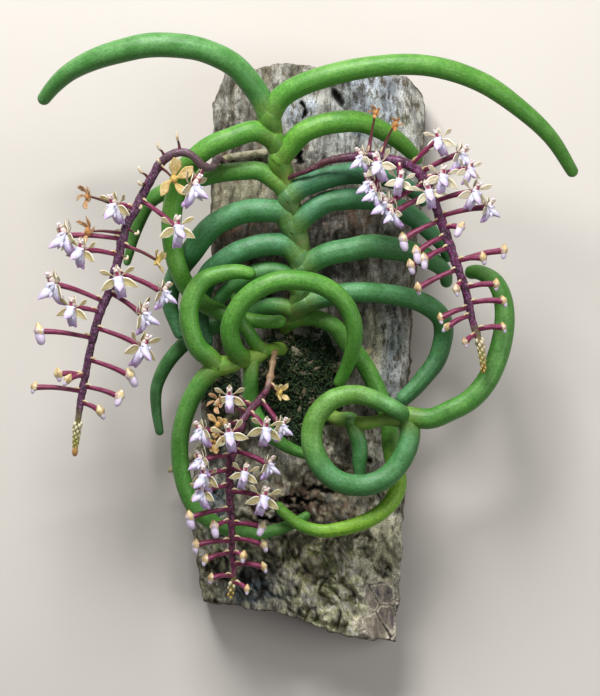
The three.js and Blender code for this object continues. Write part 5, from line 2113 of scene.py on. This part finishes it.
LEAVES = (
    Leaf("leaf_main_1_left", Age.YOUNG, 0.5, (6, 6.6, 3.4), (
        (-10.8, 62.5, 41), (-12.8, 67, 42), (-16, 71.5, 44), (-20, 75.5, 46), (-26, 78.5, 47.5),
        (-31.5, 80, 48), (-42, 80.5, 48), (-50, 79, 46.5), (-57, 77, 44), (-63.5, 74, 40.5),
        (-68, 70.5, 37), (-72, 66, 33),
    )),
    Leaf("leaf_main_1_right", Age.YOUNG, 0.2, (6.2, 5.6, 3.2), (
        (-10.5, 61.5, 41), (-7.6, 66.5, 42.5), (-1.5, 70.2, 45), (15, 74.5, 48), (31.5, 75, 49),
        (45.5, 71, 47), (56.5, 64, 43), (65, 56.5, 38), (72, 46.5, 31),
    )),
    Leaf("leaf_main_2_left", Age.YOUNG, 0.15, (5.8, 5.4, 3.4), (
        (-8.6, 55.5, 38.8), (-14, 58, 41), (-21, 56, 41.5), (-26, 54, 41), (-29.5, 51.5, 40),
        (-33.5, 47, 37.5), (-36.5, 37, 34.5), (-36.5, 28, 32.3), (-35, 21.5, 31), (-32, 15.5, 29.5),
        (-27.5, 11.5, 28.3), (-22, 9, 28.5), (-15.5, 7.5, 29.5), (-9.5, 7, 31), (-6, 7.5, 32),
    )),
    Leaf("leaf_main_2_right", Age.YOUNG, 0.08, (6, 5.8, 3.2), (
        (-8.2, 50, 37.3), (-4.5, 54.5, 39), (-1.5, 57.5, 40.5), (3, 59.5, 41), (8.5, 60.5, 41),
        (14, 60.5, 40), (19.5, 58.5, 38.5), (24.5, 55.5, 36), (30.5, 50, 32),
    )),
    Leaf("leaf_main_3_left", Age.YOUNG, 0.25, (5.2, 4.6, 2), (
        (-7, 43.6, 35), (-13, 47.5, 36), (-18.5, 47.5, 35), (-23.5, 47, 33), (-28, 46, 31),
        (-32, 45, 29.5), (-38.5, 42.5, 27.5), (-43, 39.5, 26), (-46.5, 32.5, 23.5), (-49.5, 22.5, 20),
    ), deep_end=1.0),
    Leaf("leaf_main_3_right", Age.OLD, 1.0, (5.8, 5.8, 2.8), (
        (-5.7, 40, 35), (-2, 43, 36), (3, 45, 36.5), (8.5, 46.5, 36), (14, 47, 34.5), (21, 46, 32),
        (27, 43.5, 28.5), (32, 39, 24),
    )),
    Leaf("leaf_main_4_left", Age.OLD, 0.8, (6.2, 6.4, 2.8), (
        (-4.4, 33, 32.5), (-7, 36.5, 33.5), (-11, 37, 34), (-15.5, 37, 33.5), (-21, 35.5, 32.5),
        (-25.5, 33, 31.5), (-28.5, 30, 30), (-31.5, 26, 27.5), (-34.5, 22, 24), (-37, 17, 21.5),
        (-37.5, 11.5, 20.5), (-36, 6.5, 20.5), (-34.5, 2.5, 20.5),
    )),
    Leaf("leaf_main_4_right", Age.OLD, 0.9, (5.8, 5.8, 2.8), (
        (-3.6, 31.5, 32.4), (-1.6, 34.7, 34), (4.5, 39, 35), (10, 40, 35), (17, 40, 33.5),
        (23.5, 38, 31.5), (29, 35, 29.2), (33.5, 31, 26.5), (36.8, 27.6, 23), (38.3, 23.8, 19),
    )),
    Leaf("leaf_main_5_left", Age.OLD, 0.85, (6.2, 6.2, 2.6), (
        (-2, 24, 30.5), (-5.5, 27.5, 31.5), (-10, 28, 31.5), (-15.5, 27, 31), (-19.5, 25.5, 30.5),
        (-24, 22.5, 29.5), (-27, 19.5, 26.5), (-28.5, 15.5, 23.6), (-29, 11, 22.8), (-28.5, 5, 23.2),
        (-26.5, 0.5, 23.5),
    )),
    Leaf("leaf_main_5_right", Age.OLD, 0.75, (6, 6.4, 3), (
        (-1.8, 21, 30), (1.5, 23.5, 31), (6, 25.5, 32), (11.5, 26.5, 32), (16.5, 27.5, 31.5),
        (22, 27, 30), (27.5, 26, 27.5), (33, 24, 24), (37, 21, 20), (38, 17, 15.5),
    )),
    Leaf("leaf_main_6_left", Age.OLD, 0.6, (5.4, 5.3, 2.4), (
        (-1.5, 15, 28.5), (-4.5, 18.5, 29.5), (-8, 20.5, 29.5), (-13, 20.5, 29), (-18.5, 18, 27.5),
        (-22.5, 15, 25), (-24.5, 12, 23.6), (-24, 9, 23),
    )),
    Leaf("leaf_main_6_right", Age.OLD, 0.75, (5.6, 5.6, 4.2), (
        (-1.5, 12, 27.5), (2, 13, 28.5), (7.5, 14.5, 29), (11.5, 15, 29), (17, 15, 28.5),
        (22, 14.5, 27.5), (27.5, 13.5, 26), (32.5, 11.5, 24), (36, 8.5, 21.5), (37, 5, 19.5),
        (36.5, 1, 18.5), (35, -3.5, 18.5), (32, -7.5, 19), (28.5, -11.5, 19.4), (24.5, -15, 19.2),
    )),
    Leaf("leaf_main_7_left", Age.OLD, 0.6, (4.6, 4.2, 2.2), (
        (-3.5, 10, 25.2), (-6, 11.2, 25.8), (-9.5, 11.5, 25), (-13.5, 10.5, 22.8), (-18.5, 8, 20.5),
        (-24, 6.5, 18.8), (-30.5, 3.5, 17), (-35, 0, 15), (-39, -5, 13.5), (-41.5, -11, 12.5),
        (-41.5, -17.5, 12), (-40.5, -24, 11.5),
    ), deep_end=0.6),
    Leaf("leaf_main_7_right", Age.YOUNG, 0.2, (4.8, 4.8, 2.8), (
        (-4.5, 7.6, 22.6), (-1, 8.4, 23.5), (3.5, 7.7, 24.9), (7.5, 5.5, 25.5), (10.5, 1.5, 25),
        (14, -2.5, 24.5), (17, -7.5, 24), (19.5, -13, 22.8), (22, -19.5, 22), (22.5, -26.5, 22),
        (23.5, -32, 22.8), (24.5, -36.5, 24.5), (23, -41, 26.5), (19, -45, 27.5), (14, -47.5, 28),
        (8.5, -49, 28), (3.5, -49.5, 27.5), (-2, -48, 27), (-6, -45, 27), (-9, -42, 26.5),
    ), sunned=0.75),
    Leaf("leaf_left_1", Age.YOUNG, 0.2, (5.4, 5.3, 3.2), (
        (-24.5, -5, 31.5), (-26.7, -2.5, 33), (-29.5, 0, 35), (-31.5, 5, 36.3), (-32, 10, 36.8),
        (-30.5, 15, 37), (-27.5, 18.5, 37), (-23, 20, 37.3), (-18.5, 20.5, 37.5), (-14, 19.5, 37),
    )),
    Leaf("leaf_left_2", Age.YOUNG, 0.3, (5.2, 4.6, 2.4), (
        (-24.5, -5, 31.5), (-27.5, -7.5, 31.5), (-30, -11, 31), (-32.5, -16, 30), (-34.5, -23.5, 28.5),
        (-34.5, -31.5, 27), (-33, -38.5, 25.8), (-30.5, -43.5, 25), (-26.5, -47, 24.3),
        (-20.5, -49.5, 23.5), (-14.5, -50.5, 23), (-9, -49.5, 22.3), (-4.5, -48, 21.8), (0.5, -45, 21.8),
    )),
    Leaf("leaf_left_3", Age.YOUNG, 0.2, (5.2, 5.3, 3.2), (
        (-17, -3.2, 29.6), (-19, -1.5, 33), (-20.5, 1.5, 35.5), (-21, 5.5, 37.5), (-19.5, 9.5, 39),
        (-17, 13, 40), (-13, 16, 40.8), (-7.5, 18, 41.2), (-2, 18, 41.2), (3, 17, 40.8), (8, 14, 39.8),
        (11, 10, 38), (12.5, 5, 36), (12, -0.5, 33), (10.5, -5, 29.5), (8, -10.5, 26),
    )),
    Leaf("leaf_left_4", Age.YOUNG, 0.3, (4.4, 4.2, 2.4), (
        (-15, -2.5, 29), (-15.5, -6.5, 29.5), (-15.5, -10.5, 28.5), (-15.5, -14.5, 27), (-14, -18.5, 26),
        (-11, -22.5, 25.5), (-7, -26, 25), (-3, -28, 24.5), (1, -29.5, 24),
    )),
    Leaf("leaf_left_5", Age.YOUNG, 0.2, (3.8, 3.8, 2), (
        (-11.5, -1, 27.5), (-14, 1, 30), (-16, 4, 32.3), (-18, 7, 33.2), (-19, 11, 33.5), (-20, 15, 33),
    )),
    Leaf("leaf_right_1", Age.YOUNG, 0.3, (5.6, 5.8, 3.6), (
        (26.5, -18.5, 31), (33, -19, 32.5), (38, -17, 33.5), (43.5, -14, 34), (48, -9, 34),
        (51.5, -1, 33), (53, 7.5, 32), (52.5, 13.5, 30.5), (50.5, 18, 28), (46.5, 20.5, 24.5),
        (43.5, 20.5, 20),
    )),
    Leaf("leaf_right_2", Age.OLD, 0.7, (5.7, 5.9, 4.3), (
        (26.5, -18.5, 30.8), (27.5, -22.5, 31.5), (26.5, -27.5, 32), (23.5, -32.5, 32), (19, -36, 32.3),
        (13, -37, 32.7), (7.5, -35.5, 33), (3, -31, 33.2), (1, -25, 33.5), (2, -19, 33.8), (6.5, -14, 34),
        (13, -12.5, 34.3), (19.5, -14.5, 34.5), (23.5, -16.5, 35.5), (26.2, -18.3, 31.8),
    ), sunned=0.4),
    Leaf("leaf_right_3", Age.OLD, 0.7, (4.2, 4.3, 2.6), (
        (11.5, -19, 26), (12.5, -22, 26.5), (14, -26.5, 26), (14, -31.5, 25), (14.5, -36.5, 24),
    )),
)
LEAF_FINISHES = {
    Age.YOUNG: LeafFinish(Age.YOUNG, cloud=0.45, gloss=0.4),
    Age.OLD: LeafFinish(Age.OLD, cloud=0.6, gloss=0.44),
}
SHEATH_FINISHES = {
    Age.YOUNG: SheathFinish(body="8aa63a", shade="688f2c", rim="c4d474", name="young_sheath_skin"),
    Age.OLD: SheathFinish(),
}
STEMS = (
    ("stem_main", 5.4, MAIN_STEM, "leaf_main", Age.OLD),
    ("stem_left_shoot", 4.2, LEFT_SHOOT, "leaf_left", Age.YOUNG),
    ("stem_right_shoot", 4.2, RIGHT_SHOOT, "leaf_right", Age.YOUNG),
)
ROOTS = (
    Root("root_upper", (
        (-7.5, 50.5, 34.5), (-8.8, 52.5, 26), (-11, 53.2, 19.5), (-15, 52.8, 18.3), (-19.5, 52.4, 17.2),
        (-24, 51.4, 15.8),
    )),
    Root("root_left", (
        (-8.5, -2, 19.5), (-10.5, -5.5, 18), (-16, -11.5, 17.5), (-21, -18, 16.5), (-27.5, -25, 14.5),
        (-32, -30, 12), (-36, -32.5, 10.5), (-38.5, -34, 10),
    )),
    Root("root_right", (
        (-4.8, -0.6, 19.5), (0, -2.5, 18.3), (7.5, -5, 17.5), (12, -3.5, 17.5), (17.5, -0.5, 16.5),
    )),
)
RACEME_LEFT_FINISH = RacemeFinish("raceme_left")
RACEME_RIGHT_FINISH = RacemeFinish(
    "raceme_right", "6a2455", stalk_old="4c2420", tepal="cfc4a6", tepal_streak="8d815c",
)
RACEME_BOTTOM_FINISH = RacemeFinish("raceme_bottom", "6b2646", stalk_old="a48a62", stalk_mottle_and_highlight="94607c")
RACEMES = (
    Raceme(
        name="raceme_left",
        flower_size=0.88,
        axis=(
            (-6.8, 48, 33.5), (-9.5, 48.5, 30.5), (-12.5, 48, 29.8), (-17, 48, 29.6), (-21.5, 49, 29.6),
            (-23.6, 50.8, 31), (-24.4, 50.8, 34), (-24.8, 49.8, 37.3), (-26, 48.2, 41.4),
            (-28.2, 48.6, 44.6), (-30, 50.5, 46), (-32, 51.8, 46.5), (-35, 52, 46), (-38.8, 49.8, 45.2),
            (-41.6, 45.5, 44.6), (-43.8, 41.5, 44), (-45.6, 38, 44), (-48.7, 32, 44), (-50.5, 24.5, 44),
            (-53, 15, 43.5), (-55, 11, 43.5), (-57, 4.5, 43), (-59.5, -7, 42), (-61.5, -19, 41),
            (-62.5, -29, 40),
        ),
        blooms=(
            (-51, 38, -30), (-64, 30, -60), (-60, 26, -20), (-50.5, 18.5, 0), (-67, 17, -55),
            (-62.5, 10.5, -15), (-44.5, 9, 50), (-44.5, 0.5, 30), (-39, 15, 50), (-35, 32, 15),
            (-31, 43, 45),
        ),
        buds=(
            (-71.5, 4.5, -60), (-47.5, -7.5, 40), (-50.5, -13, 40), (-55.5, -17, 20), (-66.5, -7, -20),
            (-64, -8.5, -10), (-73, -10.5, -60),
        ),
        hooks=(
            (-34.7, 55.4, 0), (-39.5, 52.8, 0), (-39.5, 49.3, 0), (-44.3, 46.6, 0), (-44.3, 43.4, 0),
            (-44.8, 37.3, 0), (-46.1, 30.4, 0), (-48.8, 23.7, 0),
        ),
        wilted=(
            ((-58.5, 40.5, -40), Wilt.RUST),
            ((-58.5, 31, -30), Wilt.RUST),
            ((-40.5, 23.5, 50), Wilt.AMBER),
            ((-36, 45, 20), Wilt.PALE),
        ),
        finish=RACEME_LEFT_FINISH,
        widths=(1.7, 2.6, 1.5),
        grown=0.5,
        old_share=0.36,
        tip_length=9.5,
        tip_gold=0.1,
        rusty_end=2.6,
    ),
    Raceme(
        name="raceme_right",
        flower_size=0.76,
        axis=(
            (-6.5, 45, 36.5), (-3, 46.5, 39), (0, 47.5, 40.5), (4, 49.5, 41.5), (8, 50.5, 42.5),
            (12.5, 51, 43.5), (17.5, 51, 44.5), (23, 50, 45), (27.5, 48.5, 45), (31, 45, 45),
            (33, 40.5, 45), (36, 32.5, 44.5), (39, 24, 44), (42, 15.5, 43), (44, 7, 42), (46, 1, 41.5),
            (47, -6, 41),
        ),
        blooms=(
            (15, 51, -60), (19, 49, -20), (24.5, 44.5, -5), (35, 55.5, -15), (40, 51.5, 55),
            (42.5, 47.5, 25), (32, 41.5, 0), (44, 41.5, 20), (47.5, 37.5, 50), (18.5, 41.5, -65),
            (21.5, 38.5, -60), (23, 36, -45), (17, 44, -80), (35.5, 45.5, 10),
        ),
        buds=(
            (25.5, 29, -50), (29, 25.5, -20), (40.5, 32, 10), (31, 23.5, -10), (27.5, 22, -40),
            (52, 26, 60), (46.5, 24, 30), (29.5, 16, -50), (39.5, 15.5, 0), (50, 17, 50), (52, 12.5, 60),
            (35.5, 8, -50), (37, 5.5, -30), (52, 5.5, 60), (42, 1.5, -10),
        ),
        hooks=(),
        wilted=(
            ((18, 63, -10), Wilt.SPENT),
            ((23, 59.5, 10), Wilt.SPENT),
        ),
        finish=RACEME_RIGHT_FINISH,
        widths=(1.2, 2.7, 1.5),
        grown=0.3,
        old_share=0.22,
        tip_gold=0.45,
        bud_rust=0.6,
        pedicel_width=1.3,
    ),
    Raceme(
        name="raceme_bottom",
        flower_size=0.76,
        axis=(
            (-9, -1, 27), (-9.5, -3.5, 30), (-10, -7, 32), (-11, -11, 34), (-13, -14, 36.5),
            (-15.5, -16.5, 38.5), (-17.5, -19.5, 40), (-19, -24.5, 40), (-20.5, -28.5, 39.5),
            (-21, -32.5, 38.5), (-21, -40.5, 36.5), (-20.5, -49, 34), (-20.5, -55.5, 32),
            (-20, -61, 30.5), (-21, -67, 29.5),
        ),
        blooms=(
            (-21, -13, 0), (-21, -23, 0), (-17, -33.5, 5), (-28, -22, -45), (-11.5, -21.5, 10),
            (-7.5, -21, 45), (-28, -30, -50), (-27, -34, -30), (-11, -31, 50), (-28, -38.5, -30),
            (-12, -40, 10),
        ),
        buds=(
            (-31.5, -45.5, -60), (-25, -48, -20), (-12.5, -48, 30), (-30, -53, -60), (-12, -53, 40),
            (-17.5, -56, 10), (-27.5, -57, -50), (-12, -59, 40), (-26, -62, -50), (-16.5, -65, 20),
        ),
        hooks=(),
        wilted=(
            ((-24, -14.5, -30), Wilt.RUST),
            ((-8, -12, 30), Wilt.AMBER),
            ((-24, -20.5, -20), Wilt.TAN),
            ((-24.5, -25, -20), Wilt.TAN),
        ),
        finish=RACEME_BOTTOM_FINISH,
        widths=(1.3, 2.4, 1.1),
        grown=0.4,
        old_share=0.16,
        nodes=(0.8, 4.6, 8.8),
        tip_length=4.5,
        tip_buds=12,
        tip_gold=0.35,
        bud_rust=0.4,
    ),
)
MOSSES = (
    MossCushion("moss_centre", (-2, -10.5), (12.5, 16, 4.5), 16.0, 640, 26, 3),
    MossCushion("moss_left", (-23, -12), (5, 7.5, 4), 14.0, 150, 5, 8),
)


def main() -> None:
    """Builds and dresses every piece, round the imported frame."""
    logging.basicConfig(level=logging.INFO, format="%(message)s")
    show("bark_slab_relief", BarkSlab(SLAB_OUTLINE).shell(), BarkFinish().material(), "bark", "bark_slab")
    moss_skin = MossFinish().material()
    for cushion in MOSSES:
        show(f"{cushion.name}_shoots", cushion.shell(), moss_skin, "moss", cushion.name)
    skins = {age: finish.material() for age, finish in LEAF_FINISHES.items()}
    for leaf in LEAVES:
        show(f"{leaf.name}_blade", leaf.shell(), skins[leaf.age], leaf.age.value, leaf.name)
    sheaths = {age: finish.material() for age, finish in SHEATH_FINISHES.items()}
    for name, width, points, prefix, age in STEMS:
        leaves = tuple(leaf for leaf in LEAVES if leaf.name.startswith(prefix))
        show(f"{name}_sheaths", Stem(name, width, points, leaves).shell(), sheaths[age], "stem", name)
    root_skin = RootFinish().material()
    for root in ROOTS:
        show(f"{root.name}_skin", root.shell(), root_skin, "root", root.name)
    for raceme in RACEMES:
        raceme.make()
    Studio().build()


if __name__ == "__main__":
    main()
